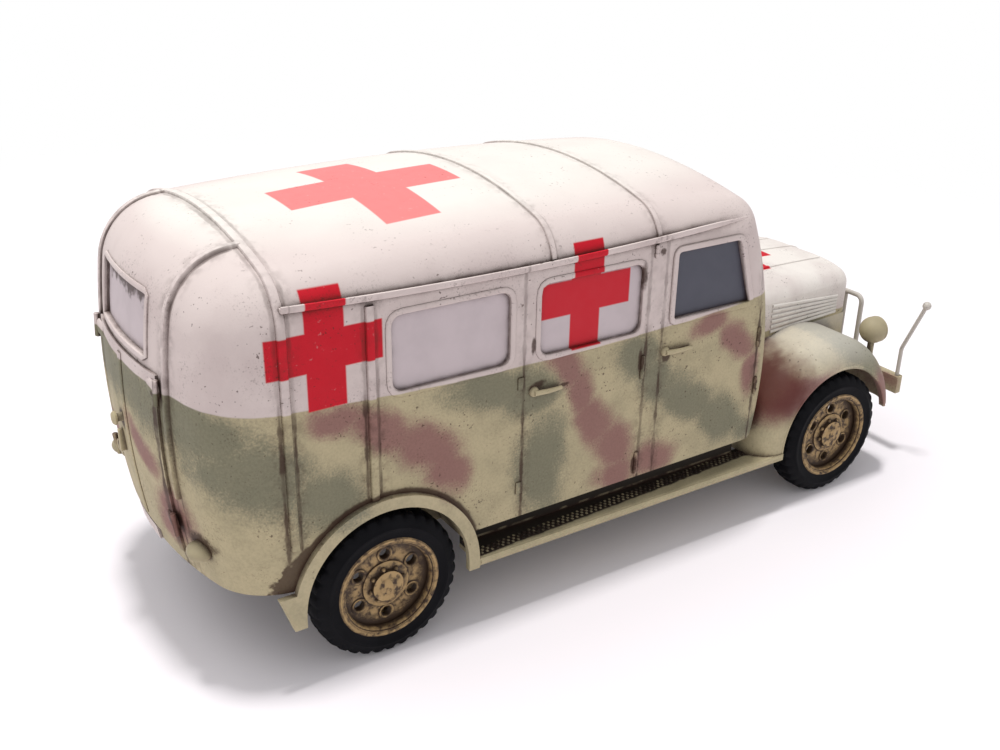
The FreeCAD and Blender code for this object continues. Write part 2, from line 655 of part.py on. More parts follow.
front_zone = prism(
    "front_zone",
    "xz",
    (*cab_door_edge, (AHEAD_OF_CAB, "cant_z"), (AHEAD_OF_CAB, BELOW_SKIRT)),
    FULL_Y,
)
screen_span = (f"{CAB_FRONT} - 2 * cab_door_inset", AHEAD_OF_CAB)
screen_hole = brick(
    "screen_hole",
    screen_span,
    ("screen_post / 2", "screen_half"),
    ("screen_sill_z", "screen_top_z"),
)
screen_holes = (screen_hole, twin_of(screen_hole))
cab_front_wall = common("cab_front_wall", shell, front_zone)
scuttle_y = ("cab_corner_radius - half_width", "half_width - cab_corner_radius")
scuttle_x = (CAB_DOOR_REAR, AHEAD_OF_CAB)
scuttle_room = brick("scuttle_room", scuttle_x, scuttle_y, (BELOW_SKIRT, "scuttle_foot_z"))
cab_front = cut("cab_front_panel", cab_front_wall, scuttle_room, *screen_holes)
screen_axis = (f"{CAB_FRONT} - screen_bow", "-half_width", "screen_bow_z")
screen_outside = bar("screen_outside", "y", "screen_bow - pane_recess", "2 * half_width", screen_axis)
screen_inside = bar(
    "screen_inside", "y", "screen_bow - pane_recess - pane_thick", "2 * half_width", screen_axis
)
screen_layer = cut("screen_layer", screen_outside, screen_inside)
screen_glass = common("screen_glass", screen_hole, screen_layer)

corner_zone = brick("corner_zone", (BEHIND_TAIL, REAR_SEAM), ("tail_panel_half", PAST_SIDE), FULL_Z)
rear_corner = common("rear_corner", shell, corner_zone)
tail_zone = brick(
    "tail_zone", (BEHIND_TAIL, REAR_SEAM), ("-tail_panel_half", "tail_panel_half"), FULL_Z
)
tail_window = brick(
    "tail_window",
    (BEHIND_TAIL, f"{TAIL} + 3 * wall"),
    ("-tail_window_half", "tail_window_half"),
    ("tail_window_sill_z", "tail_window_top_z"),
)
tail_pane_layer = tail_layer("tail_pane_layer", "-pane_recess", "-pane_recess - pane_thick")
tail_glass = common("tail_glass", tail_window, tail_pane_layer)
tail_door_layer = tail_layer("tail_door_layer", "tail_door_proud", "fit_gap - wall")
tail_door_zone = brick(
    "tail_door_zone",
    (BEHIND_TAIL, f"{TAIL} + 4 * wall"),
    (0, "tail_door_half"),
    ("tail_door_foot_z", "tail_door_top_z"),
)
tail_door = common("tail_door", tail_door_zone, tail_door_layer)
tail_door_hole = brick(
    "tail_door_hole",
    (BEHIND_TAIL, f"{TAIL} + 4 * wall"),
    ("-tail_door_half", "tail_door_half"),
    ("tail_door_foot_z", "tail_door_top_z"),
)
tail_frame = cut("tail_frame", common("tail_wall", shell, tail_zone), tail_window, tail_door_hole)

roof_spans = (
    ("roof_rear_panel", REAR_SEAM, ROOF_SEAM),
    ("roof_middle_panel", ROOF_SEAM, CAB_ROOF_SEAM),
    ("cab_roof", CAB_ROOF_SEAM, f"{CAB_FRONT} + 1"),
)
for label, low, high in roof_spans:
    node(label, common(label + "_sheet", shell, brick(label + "_zone", (low, high), FULL_Y, ROOF_Z)))

floor_side = "(half_width - wall)"
floor_tail = f"({TAIL} + floor_tail_gap)"
floor_front = f"({CAB_FRONT} - floor_front_gap)"
floor_left = (
    (floor_front, f"{floor_side} - cab_corner_radius"),
    (f"{floor_front} - cab_corner_radius", floor_side),
    (f"{floor_tail} + tail_corner_radius", floor_side),
    (floor_tail, f"{floor_side} - tail_corner_radius"),
)
floor_right = [(x, f"-({y})") for x, y in reversed(floor_left)]
floor_sheet = prism("floor_sheet", "xy", (*floor_left, *floor_right), ("floor_z", FLOOR_TOP))
floor_pan = cut("floor_pan_sheet", floor_sheet, arch_hole, twin_of(arch_hole))

node("floor_pan", floor_pan)
node("cab_front", cab_front)
node("tail_panel", tail_frame)
node("tail_window_glass", tail_glass)
mirrored("tail_door_right", node("tail_door_left", tail_door))
for label, piece in (
    ("side_panels", side_panel),
    ("side_doors", side_door),
    ("cab_doors", cab_door),
    ("door_pillars", pillar),
    ("rear_corners", rear_corner),
    ("windscreen_glass", screen_glass),
    ("side_window_glass", side_glass),
    ("side_door_glass", door_glass),
    ("cab_door_glass", cab_glass),
):
    node_pair(label, piece)

# ---------------------------------------------------------------- rear wheel arches
lip_radius = "(arch_radius + arch_lip)"
lip_y = ("half_width", "half_width + arch_proud")
lip_outside = fuse(
    "lip_outside",
    bar("lip_disc", "y", lip_radius, "arch_proud", (0, "half_width", "tyre_radius")),
    brick("lip_legs", (f"-{lip_radius}", lip_radius), lip_y, ("arch_foot_z", "tyre_radius")),
    prism(
        "splash_plate",
        "xz",
        (
            (f"-{lip_radius} - arch_splash", "skirt_tail_z"),
            (f"-{lip_radius}", "arch_foot_z"),
            ("-arch_radius", "arch_foot_z"),
            ("-arch_radius", "skirt_tail_z"),
        ),
        lip_y,
    ),
)
well_inner = "(well_y + well_skin)"
well_x = (f"-{lip_radius}", lip_radius)
well_start = (0, "well_y", "tyre_radius")
well_radius = "arch_radius + well_skin - fit_gap"
well_outside = bar("well_outside", "y", well_radius, "half_width - well_y", well_start)
well_upper = brick("well_upper", well_x, ("well_y", "half_width"), ("skirt_tail_z", "roof_z"))
well_room = bar("well_room", "y", "arch_radius", "half_width", (0, well_inner, "tyre_radius"))
leg_room_x = ("-arch_radius", "arch_radius")
leg_room = brick("leg_room", leg_room_x, (well_inner, PAST_SIDE), ("-cut_margin", "tyre_radius"))
lip_below_x = ("-tail_overhang", "tail_overhang")
lip_below = brick("lip_below", lip_below_x, FULL_Y, (f"-{lip_radius}", "arch_foot_z"))
mudguard = cut(
    "mudguard",
    fuse("mudguard_form", lip_outside, common("well_form", well_outside, well_upper)),
    well_room,
    leg_room,
    lip_below,
)
node_pair("rear_mudguards", mudguard)

# ---------------------------------------------------------------- running boards
board_foot_z = "(board_z - board_thick)"
board_plate = brick(
    "board_plate", (lip_radius, BOARD_FRONT), ("board_inner_y", "board_edge_y"), (board_foot_z, "board_z")
)
board_apron = brick(
    "board_apron_sheet",
    (lip_radius, f"{FENDER_REAR} - wall"),
    ("board_inner_y", "board_inner_y + board_apron"),
    (board_foot_z, "floor_z"),
)
board = fuse("board", board_plate, board_apron)
node_pair("running_boards", board)


# ---------------------------------------------------------------- bonnet and radiator
def nose_form(name, inset):
    """The bonnet's outer form, or the same drawn in by inset: tapered, crowned, bowed nose."""
    plan = prism(
        name + "_plan",
        "xy",
        (
            (f"{CAB_FRONT} - cab_corner_radius", f"bonnet_tail_half - {inset}"),
            (f"{CAB_FRONT} - cab_corner_radius", f"{inset} - bonnet_tail_half"),
            (TAPER_END, f"{inset} - bonnet_nose_half"),
            (TAPER_END, f"bonnet_nose_half - {inset}"),
        ),
        ("floor_z", ABOVE_BONNET),
    )
    nose = bar(name + "_nose", "z", f"nose_bow - {inset}", "bonnet_z", (f"{NOSE} - nose_bow", 0, "floor_z"))
    centre = ("wheel_base - bonnet_peak_lag", "bonnet_z - bonnet_bow")
    top = barrel(name + "_top", "bonnet_bow", "bonnet_crown", f"-{inset}", centre)
    form = common(name + "_form", plan, nose, top)

    peak_x = number("wheel_base - bonnet_peak_lag")
    tail_x = number(f"{CAB_FRONT} - cab_corner_radius")
    top_low = number("bonnet_side_top_z")
    crest_radius = number(f"nose_edge_radius - {inset}")
    side_radius = number(f"bonnet_edge_radius - {inset}")

    def is_corner(edge):
        return runs_along(edge, "z") and middle_of(edge).x > peak_x

    def is_top_edge(edge):
        return middle_of(edge).z > top_low and abs(middle_of(edge).x - tail_x) > NEAR

    def top_radius(end):
        return crest_radius if abs(end.y) < NEAR else side_radius

    corners = rounded(name + "_corners", form, is_corner, same(f"nose_corner_radius - {inset}"))
    return rounded(name, corners, is_top_edge, top_radius)


bonnet_outside = nose_form("bonnet_outside", "0")
bonnet_inside = nose_form("bonnet_inside", "bonnet_wall")
bonnet_shell = cut("bonnet_shell", bonnet_outside, bonnet_inside, outer)
BONNET_X = (f"{CAB_FRONT} - cut_margin", AHEAD_OF_NOSE)
half_zone = brick("half_zone", BONNET_X, (0, "half_width"), ("bonnet_side_top_z", ABOVE_BONNET))
nose_zone = brick(
    "nose_zone", (RADIATOR_REAR, AHEAD_OF_NOSE), (0, "half_width"), ("radiator_top_z", ABOVE_BONNET)
)
bonnet_half = common("bonnet_half", bonnet_shell, fuse("bonnet_zone", half_zone, nose_zone))
mirrored("bonnet_right", node("bonnet_left", bonnet_half))
side_leaf_zone = brick(
    "side_leaf_zone",
    (f"{CAB_FRONT} - cut_margin", RADIATOR_REAR),
    (0, "half_width"),
    ("bonnet_side_foot_z", "bonnet_side_top_z"),
)
node_pair("bonnet_sides", common("bonnet_side", bonnet_shell, side_leaf_zone))

radiator_zone = brick(
    "radiator_zone", (RADIATOR_REAR, AHEAD_OF_NOSE), FULL_Y, ("floor_z", "radiator_top_z")
)
grille_hole = brick(
    "grille_hole",
    (f"{NOSE} - grille_depth", AHEAD_OF_NOSE),
    ("-grille_half", "grille_half"),
    ("grille_foot_z", "grille_top_z"),
)
radiator_form = common("radiator_form", bonnet_outside, radiator_zone)
radiator_shell = cut("radiator_shell_form", radiator_form, grille_hole)
grille_layer = bar(
    "grille_layer", "z", "nose_bow - grille_recess", "bonnet_z", (f"{NOSE} - nose_bow", 0, 0)
)
node("radiator_shell", radiator_shell)
node("radiator_grille", common("grille", grille_hole, grille_layer))

# ---------------------------------------------------------------- front fenders
fender_start = (FENDER_X, "fender_root_y", "tyre_radius")
fender_disc = bar("fender_disc", "y", "fender_radius", "fender_face_y - fender_root_y", fender_start)
fender_room = bar(
    "fender_room",
    "y",
    "fender_radius - fender_skin",
    "fender_face_y - fender_skin - fender_root_y + cut_margin",
    (FENDER_X, "fender_root_y - cut_margin", "tyre_radius"),
)


def round_face(name, disc, face, radius):
    """Round a disc's edge at its outer face."""
    place = number(face)

    def is_rim(edge):
        return edge.Closed and abs(middle_of(edge).y - place) < NEAR

    return rounded(name, disc, is_rim, same(radius))


fender_outside = round_face("fender_outside", fender_disc, "fender_face_y", "fender_edge_radius")
fender_inside = round_face(
    "fender_inside", fender_room, "fender_face_y - fender_skin", "fender_edge_radius - fender_skin"
)
fender_opening = bar(
    "fender_hole", "y", "fender_opening", "half_width", ("wheel_base", "board_inner_y", "tyre_radius")
)
fender_above_x = (f"{FENDER_REAR} - cut_margin", FENDER_X)
fender_above = brick("fender_above", fender_above_x, (0, PAST_SIDE), ("board_z", "roof_z"))
fender_nose_x = (FENDER_X, f"{FENDER_X} + fender_radius + cut_margin")
fender_ahead = brick("fender_ahead", fender_nose_x, (0, PAST_SIDE), ("fender_tip_z", "roof_z"))
apron_rear = f"{CAB_FRONT} - cab_corner_radius"
apron_plan = (
    (apron_rear, "bonnet_tail_half"),
    (TAPER_END, "bonnet_nose_half"),
    (TAPER_END, "bonnet_nose_half - fender_skin"),
    (apron_rear, "bonnet_tail_half - fender_skin"),
)
fender_apron = common(
    "fender_apron",
    prism("apron_plate", "xy", apron_plan, ("floor_z", "bonnet_side_foot_z")),
    brick("apron_zone", (apron_rear, RADIATOR_REAR), (0, "half_width"), ("floor_z", "bonnet_z")),
)
inboard = prism(
    "inboard",
    "xy",
    (
        (f"{apron_rear} - cut_margin", 0),
        (f"{TAPER_END} + cut_margin", 0),
        (f"{TAPER_END} + cut_margin", "bonnet_nose_half - fender_skin"),
        (TAPER_END, "bonnet_nose_half - fender_skin"),
        (apron_rear, "bonnet_tail_half - fender_skin"),
        (f"{apron_rear} - cut_margin", "bonnet_tail_half - fender_skin"),
    ),
    (0, "roof_z"),
)
bonnet_above = common(
    "bonnet_above",
    bonnet_outside,
    brick("bonnet_above_zone", BONNET_X, FULL_Y, ("bonnet_side_foot_z", ABOVE_BONNET)),
)
radiator_room = common(
    "radiator_room",
    bonnet_outside,
    brick("radiator_room_zone", (RADIATOR_REAR, AHEAD_OF_NOSE), FULL_Y, ("floor_z", "bonnet_z")),
)
fender_sheet = common(
    "fender_sheet",
    cut("fender_hollow", fender_outside, fender_inside, fender_opening),
    fuse("fender_zone", fender_above, fender_ahead),
)
fender_form = fuse("fender_form", fender_sheet, fender_apron)
fender = cut("fender", fender_form, inboard, bonnet_above, radiator_room, outer)
node_pair("front_fenders", fender)

# ---------------------------------------------------------------- bumper, guard, lamps and rods
bumper_bar = brick(
    "bumper_bar",
    (BUMPER_REAR, "wheel_base + bumper_lead"),
    ("-bumper_half", "bumper_half"),
    ("bumper_foot_z", BUMPER_TOP),
)


def is_bumper_corner(edge):
    return runs_along(edge, "z") and middle_of(edge).x > number(BUMPER_MIDDLE)


node("front_bumper", rounded("bumper", bumper_bar, is_bumper_corner, same("bumper_corner_radius")))

guard_height = "guard_top_z - floor_z"
guard_bars = []
for i in range(GUARD_POSTS):
    post_foot = (GUARD_X, f"guard_step * ({i} - ({GUARD_POSTS} - 1) / 2)", "floor_z")
    guard_bars.append(bar(f"guard_post_{i}", "z", "guard_post_radius", guard_height, post_foot))
guard_bar_start = (GUARD_X, f"-{GUARD_OUTER_Y}", "floor_z + guard_bar_rise")
guard_bars.append(bar("guard_lower_bar", "y", "guard_bar_radius", f"2 * {GUARD_OUTER_Y}", guard_bar_start))


def bent_tube(name, radius, corners, bend):
    """A tube along straight runs joined by arcs of the bend radius."""
    path = []
    start = corners[0]
    for before, corner, after in zip(corners, corners[1:], corners[2:]):
        back = (before - corner).normalize()
        ahead = (after - corner).normalize()
        half_turn = back.getAngle(ahead) / 2
        reach = bend / math.tan(half_turn)
        arc_start, arc_end = corner + back * reach, corner + ahead * reach
        inward = (back + ahead).normalize()
        arc_middle = corner + inward * (bend / math.sin(half_turn) - bend)
        path.append(Part.LineSegment(start, arc_start).toShape())
        path.append(Part.Arc(arc_start, arc_middle, arc_end).toShape())
        start = arc_end
    path.append(Part.LineSegment(start, corners[-1]).toShape())
    wire = Part.Wire(path)
    ring = Part.Wire(Part.Circle(corners[0], corners[1] - corners[0], radius).toShape())
    tube = doc.addObject("Part::Feature", name)
    tube.Shape = wire.makePipeShell([ring], True, True)
    return tube


guard_hoop = bent_tube(
    "guard_hoop",
    number("guard_tube_radius"),
    [
        point(GUARD_X, y, z)
        for y, z in (
            (f"-{GUARD_OUTER_Y}", "floor_z"),
            (f"-{GUARD_OUTER_Y}", "guard_top_z"),
            (GUARD_OUTER_Y, "guard_top_z"),
            (GUARD_OUTER_Y, "floor_z"),
        )
    ],
    number("guard_bend"),
)
node("radiator_guard", fuse("guard", guard_hoop, *guard_bars))

lamp_x = "(wheel_base + lamp_lead)"
lamp_foot_z = "(tyre_radius + sqrt(fender_radius ^ 2 - (lamp_lead + fender_lag) ^ 2))"
lamp_centre = (lamp_x, "lamp_y", "lamp_z")
lamp_face_x = f"({lamp_x} + lamp_face_lead)"
lamp_ahead = brick(
    "lamp_ahead",
    (lamp_face_x, f"{lamp_x} + 2 * lamp_radius"),
    ("lamp_y - 2 * lamp_radius", "lamp_y + 2 * lamp_radius"),
    ("lamp_z - 2 * lamp_radius", "lamp_z + 2 * lamp_radius"),
)
stalk_start = (lamp_x, "lamp_y", f"{lamp_foot_z} - 1")
stalk_bar = bar("lamp_stalk_bar", "z", "lamp_stalk_radius", f"lamp_z - {lamp_foot_z} + 1", stalk_start)
lamp_stalk = cut("lamp_stalk", stalk_bar, fender_disc)
lamp_form = fuse("lamp_form", ball("lamp_ball", "lamp_radius", lamp_centre), lamp_stalk)
lamp_body = cut("lamp_body", lamp_form, lamp_ahead)
lens_start = (lamp_face_x, "lamp_y", "lamp_z")
lamp_lens = bar("lamp_lens", "x", "lens_radius", "lens_thick", lens_start)
node_pair("headlamps", lamp_body)
node_pair("headlamp_lenses", lamp_lens)

rod_foot = (BUMPER_MIDDLE, "rod_y", BUMPER_TOP)
rod_bend = (BUMPER_MIDDLE, "rod_y", "rod_bend_z")
rod_tip = (BUMPER_MIDDLE, "rod_tip_y", "rod_tip_z")
rod_points = [point(*place) for place in (rod_foot, rod_bend, rod_tip)]
rod = fuse(
    "rod",
    bent_tube("rod_wire", number("rod_radius"), rod_points, number("rod_bend_radius")),
    ball("rod_knob", "rod_knob_radius", rod_tip),
)
node_pair("width_rods", rod)

# ---------------------------------------------------------------- chassis
RAIL_START = f"({TAIL} + rail_setback)"
cross_z = ("floor_z - cross_member_depth", "floor_z")
rail = brick("rail", (RAIL_START, BUMPER_REAR), ("rail_inner_y", RAIL_OUTER_Y), ("rail_foot_z", "floor_z"))
cross_places = (
    RAIL_START,
    "cross_member_lead",
    ROOF_SEAM,
    SIDE_DOOR_FRONT,
    f"{GUARD_X} - rail_width",
)
cross_members = [
    brick(f"cross_member_{i}", (place, f"{place} + rail_width"), ("-rail_inner_y", "rail_inner_y"), cross_z)
    for i, place in enumerate(cross_places)
]
node("chassis_frame", fuse("frame", rail, twin_of(rail), *cross_members))

gearbox_z = ("gearbox_foot_z", "floor_z - gearbox_gap")
gearbox_y = ("-gearbox_half", "gearbox_half")
gearbox_block = brick("gearbox_block", (GEARBOX_REAR, ENGINE_REAR), gearbox_y, gearbox_z)
node("gearbox", gearbox_block)
node(
    "engine",
    brick(
        "engine_block",
        (ENGINE_REAR, f"{ENGINE_REAR} + engine_length"),
        ("-engine_half", "engine_half"),
        ("engine_foot_z", "engine_top_z"),
    ),
)
shaft_front = (GEARBOX_REAR, 0, "gearbox_foot_z + shaft_rise")
nose_reach = "differential_radius + flange_reach"
differential = fuse(
    "differential",
    ball("differential_ball", "differential_radius", (0, 0, "tyre_radius")),
    bar("differential_nose", "x", "flange_radius", nose_reach, (0, 0, "tyre_radius")),
)
shaft_rear = (nose_reach, 0, "tyre_radius")
node("propeller_shaft", strut("shaft", "shaft_radius", shaft_rear, shaft_front))

axle_start = (0, f"-{AXLE_END_Y}", "tyre_radius")
axle_tube = bar("axle_tube", "y", "axle_tube_radius", f"2 * {AXLE_END_Y}", axle_start)
spindle_length = "(spindle_reach + wheel_side_gap)"
rear_reach = f"({AXLE_END_Y} + {spindle_length})"
rear_spindles = bar(
    "rear_spindles", "y", "spindle_radius", f"2 * {rear_reach}", (0, f"-{rear_reach}", "tyre_radius")
)
node("rear_axle", fuse("rear_axle_form", axle_tube, differential, rear_spindles))

kingpin_y = f"({AXLE_END_Y} - knuckle_radius)"
kingpin = bar(
    "kingpin",
    "z",
    "knuckle_radius",
    "knuckle_height",
    ("wheel_base", kingpin_y, "tyre_radius - knuckle_height / 2"),
)
flange_start = ("wheel_base", kingpin_y, "tyre_radius")
flange = bar("knuckle_flange", "y", "knuckle_flange_radius", "knuckle_radius", flange_start)
pin = bar("knuckle_pin", "y", "spindle_radius", spindle_length, ("wheel_base", AXLE_END_Y, "tyre_radius"))
node_pair("steering_knuckles", fuse("knuckle", kingpin, flange, pin))
front_beam = bar(
    "front_beam", "y", "axle_beam_radius", f"2 * {kingpin_y}", ("wheel_base", f"-{kingpin_y}", "tyre_radius")
)
node("front_axle", cut("front_axle_beam", front_beam, kingpin, twin_of(kingpin)))


def leaf_spring(name, x, seat_z):
    """A bowed leaf under a rail: its ends meet the rail and its middle sits on the axle."""
    sag = number(f"rail_foot_z - {seat_z}")
    half = number("spring_half")
    thick = number("spring_thick")
    centre_x = number(x)
    top = number("rail_foot_z")

    def arc(low, reach):
        ends = [Vector(centre_x + side * reach, 0, top) for side in (-1, 1)]
        return Part.Arc(ends[0], Vector(centre_x, 0, low), ends[1]).toShape()

    lower = arc(top - sag, half)
    upper = arc(top - sag + thick, half - thick)
    left_gap = Part.LineSegment(lower.Vertexes[0].Point, upper.Vertexes[0].Point).toShape()
    right_gap = Part.LineSegment(lower.Vertexes[1].Point, upper.Vertexes[1].Point).toShape()
    face = Part.Face(Part.Wire([lower, right_gap, upper, left_gap]))
    leaf = doc.addObject("Part::Feature", name)
    leaf.Shape = face.extrude(Vector(0, number("rail_width"), 0))
    return put(leaf, 0, "rail_inner_y", 0)


node_pair("front_springs", leaf_spring("front_leaf", "wheel_base", "(tyre_radius + axle_beam_radius)"))
node_pair("rear_springs", leaf_spring("rear_leaf", "0", "(tyre_radius + axle_tube_radius)"))

silencer_front = f"({SIDE_DOOR_FRONT} - 1)"
silencer_rear = f"({silencer_front} - silencer_length)"
pipe_z = "(floor_z - silencer_radius)"
pipe_rear = "(arch_radius + pipe_lead)"
front_pipe_length = f"{ENGINE_REAR} - {silencer_front}"
tail_pipe_length = f"{silencer_rear} - {pipe_rear}"
exhaust = fuse(
    "exhaust_form",
    bar("silencer", "x", "silencer_radius", "silencer_length", (silencer_rear, "pipe_y", pipe_z)),
    bar("front_pipe", "x", "pipe_radius", front_pipe_length, (silencer_front, "pipe_y", pipe_z)),
    bar("tail_pipe", "x", "pipe_radius", tail_pipe_length, (pipe_rear, "pipe_y", pipe_z)),
)
node("exhaust", exhaust)
tank_front = "(-differential_radius - tank_gap)"
tank_x = (f"{tank_front} - tank_length", tank_front)
node("fuel_tank", brick("tank", tank_x, ("-rail_inner_y", "rail_inner_y"), ("tank_foot_z", "floor_z")))

# ---------------------------------------------------------------- small fittings
gutter = brick(
    "gutter",
    (REAR_SEAM, f"{CAB_DOOR_FRONT} - cab_door_rake"),
    ("half_width", "half_width + gutter_proud"),
    ("gutter_z", "gutter_z + gutter_height"),
)
node_pair("roof_gutters", gutter)


def side_handle(name, x, z):
    return brick(
        name,
        (x, f"{x} + handle_length"),
        ("half_width", "half_width + handle_proud"),
        (f"{z} - handle_thick / 2", f"{z} + handle_thick / 2"),
    )


handles = [
    side_handle("side_handle", f"{SIDE_DOOR_REAR} + side_handle_lead", "side_handle_z"),
    side_handle("cab_handle", f"{CAB_DOOR_REAR} + cab_handle_lead", "cab_handle_z"),
]
node_pair("door_handles", *handles)
tail_surface = bowed_tail("door", "tail_door_proud")
fitting_x = (f"{TAIL} - tail_fitting_reach", f"{TAIL} + 1")
knob_start = (f"{TAIL} - tail_fitting_reach", "knob_y", "knob_z")
knob = bar("tail_knob_bar", "x", "knob_radius", "tail_fitting_reach + 1", knob_start)
latch_y = ("knob_y + knob_radius", "knob_y + knob_radius + handle_thick")
latch_z = ("latch_z - latch_height / 2", "latch_z + latch_height / 2")
latch = brick("tail_latch_bar", (f"{TAIL} - handle_proud", f"{TAIL} + 1"), latch_y, latch_z)
node(
    "tail_door_handle",
    cut("tail_knob", knob, tail_surface),
    cut("tail_latch", latch, tail_surface),
)
lamp_rear_x = f"({TAIL} + tail_lamp_setback)"
tail_lamp_block = brick(
    "tail_lamp_block",
    (lamp_rear_x, f"{lamp_rear_x} + cut_margin"),
    ("tail_lamp_y - tail_lamp_half", "tail_lamp_y + tail_lamp_half"),
    ("tail_lamp_z - tail_lamp_radius", "tail_lamp_z + tail_lamp_radius"),
)
tail_lamp_corner = same("tail_lamp_radius - fit_gap")


def is_lengthwise(edge):
    return runs_along(edge, "x")


tail_lamp_form = rounded("tail_lamp_form", tail_lamp_block, is_lengthwise, tail_lamp_corner)
node_pair("tail_lamps", cut("tail_lamp", tail_lamp_form, outer))
plate_zone = brick(
    "plate_zone",
    (BEHIND_TAIL, f"{TAIL} + cut_margin"),
    ("plate_y - plate_half", "plate_y + plate_half"),
    ("plate_z", "plate_z + plate_height"),
)
plate_form = common("plate_form", bowed_tail("plate", "plate_thick"), plate_zone)
node("number_plate", cut("plate", plate_form, bowed_tail("tail", "0")))


# ---------------------------------------------------------------- wheels
def turned(name, profile):
    """A closed profile of (distance from the inner face, radius) pairs, turned round the y axis."""
    sketch = outline(name + "_sketch", "yz", profile)
    solid = doc.addObject("Part::Revolution", name)
    solid.Source = sketch
    solid.Axis = Vector(0, 1, 0)
    solid.Angle = 360
    solid.Solid = True
    return solid


tyre_form = turned(
    "tyre_form",
    (
        (0, "rim_radius"),
        (0, "tyre_radius - tyre_shoulder"),
        ("tyre_shoulder", "tyre_radius"),
        ("tyre_width - tyre_shoulder", "tyre_radius"),
        ("tyre_width", "tyre_radius - tyre_shoulder"),
        ("tyre_width", "rim_radius"),
    ),
)
disc_outer = "(tyre_width - disc_depth)"
disc_inner = "(tyre_width - disc_depth - disc_thick)"
bore = "(spindle_radius + spindle_gap)"
cap_end = f"({disc_outer} + hub_cap_rise)"
rim_form = turned(
    "rim_form",
    (
        (0, bore),
        (0, "hub_radius"),
        (disc_inner, "hub_radius"),
        (disc_inner, "rim_radius - rim_wall"),
        (0, "rim_radius - rim_wall"),
        (0, "rim_radius"),
        ("tyre_width", "rim_radius"),
        ("tyre_width", "rim_radius - rim_wall"),
        (disc_outer, "rim_radius - rim_wall"),
        (disc_outer, "hub_radius"),
        (cap_end, "hub_radius"),
        (cap_end, 0),
        ("spindle_reach + spindle_gap", 0),
        ("spindle_reach + spindle_gap", bore),
    ),
)
HOLES = 6
holes = []
for i in range(HOLES):
    angle = math.radians(360 / HOLES * (i + 0.5))
    across, up = (f"disc_hole_circle * {share:.6f}" for share in (math.cos(angle), math.sin(angle)))
    holes.append(bar(f"disc_hole_{i}", "y", "disc_hole_radius", "disc_thick", (across, disc_inner, up)))
rim_disc = cut("rim_disc", rim_form, *holes)

WHEELS = (("rear", "0"), ("front", "wheel_base"))
for position, x in WHEELS:
    for kind, form in (("tyre", tyre_form), ("rim", rim_disc)):
        left = node(f"{kind}_{position}_left", form)
        put(left, f"{x} - {MIDDLE}", WHEEL_INNER_Y, "tyre_radius")
        mirrored(f"{kind}_{position}_right", left)

# ---------------------------------------------------------------- checks and export
doc.recompute()
for item in doc.Objects:
    if {"Invalid", "Error"} & set(item.State):
        raise RuntimeError(f"{item.Label} failed: {item.State}")
for item in nodes:
    if item.Shape.isNull() or not item.Shape.isValid():
        raise RuntimeError(f"{item.Label} has no valid shape")
    if not item.Shape.Solids:
        raise RuntimeError(f"{item.Label} holds no solid")
os.makedirs("parts", exist_ok=True)
for item in nodes:
    item.Shape.exportStep(f"parts/{item.Label}.step")
    print(f"{item.Label}: {len(item.Shape.Solids)} solid(s), {item.Shape.Volume:.2f} mm3")
print(f"{len(nodes)} sub-parts")
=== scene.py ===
import math

import bmesh
import bpy
from bpy.props import FloatProperty, FloatVectorProperty, IntProperty, PointerProperty
from bpy.types import Operator, Panel, PropertyGroup
from mathutils import Matrix, Vector
from mathutils.bvhtree import BVHTree


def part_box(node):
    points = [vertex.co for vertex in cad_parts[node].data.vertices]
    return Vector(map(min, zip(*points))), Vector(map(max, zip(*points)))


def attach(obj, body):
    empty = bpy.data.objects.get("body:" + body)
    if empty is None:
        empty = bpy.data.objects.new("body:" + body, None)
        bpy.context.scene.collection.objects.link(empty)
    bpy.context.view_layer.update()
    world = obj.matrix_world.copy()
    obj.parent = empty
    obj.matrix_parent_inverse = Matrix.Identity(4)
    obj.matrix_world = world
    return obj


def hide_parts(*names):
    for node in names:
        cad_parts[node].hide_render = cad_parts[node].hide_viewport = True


bl_info = {
    "name": "Ambulance Model",
    "version": (1, 0, 0),
    "blender": (4, 5, 0),
    "location": "View3D > Sidebar > Ambulance",
    "description": "Finishes and fittings for a painted scale model of an ambulance truck",
    "category": "Object",
}

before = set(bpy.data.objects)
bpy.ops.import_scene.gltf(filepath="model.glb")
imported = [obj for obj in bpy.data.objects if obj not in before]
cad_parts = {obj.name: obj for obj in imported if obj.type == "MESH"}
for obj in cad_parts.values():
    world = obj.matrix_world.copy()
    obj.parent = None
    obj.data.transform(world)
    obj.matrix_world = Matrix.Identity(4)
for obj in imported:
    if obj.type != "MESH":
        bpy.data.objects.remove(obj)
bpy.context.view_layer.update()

MM = 0.001
LEFT, RIGHT = 1, -1
SIDES = (LEFT, RIGHT)
AHEAD = Vector((1, 0, 0))
LEVEL = Vector((0, 1, 0))
UP = Vector((0, 0, 1))


def box_corners(node):
    """A node's lowest and highest corner at rest, in metres."""
    low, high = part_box(node)
    return Vector(low), Vector(high)


def box_middle(node):
    low, high = box_corners(node)
    return (low + high) / 2


REAR_AXLE = box_middle("tyre_rear_right")
FRONT_AXLE = box_middle("tyre_front_right")


def at(x, y, z):
    """A place in metres, from millimetres ahead of the rear axle, to the left and above the floor."""
    return Vector((REAR_AXLE.x + x * MM, y * MM, z * MM))


def from_axle(x):
    """Millimetres ahead of the rear axle, from metres in the frame."""
    return (x - REAR_AXLE.x) / MM


def half_width(node):
    """How far a node reaches to the left, in millimetres."""
    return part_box(node)[1][1] / MM


def span_of(node):
    """A node's rear, front, foot and top, in millimetres from the rear axle and from the floor."""
    low, high = box_corners(node)
    return from_axle(low.x), from_axle(high.x), low.z / MM, high.z / MM


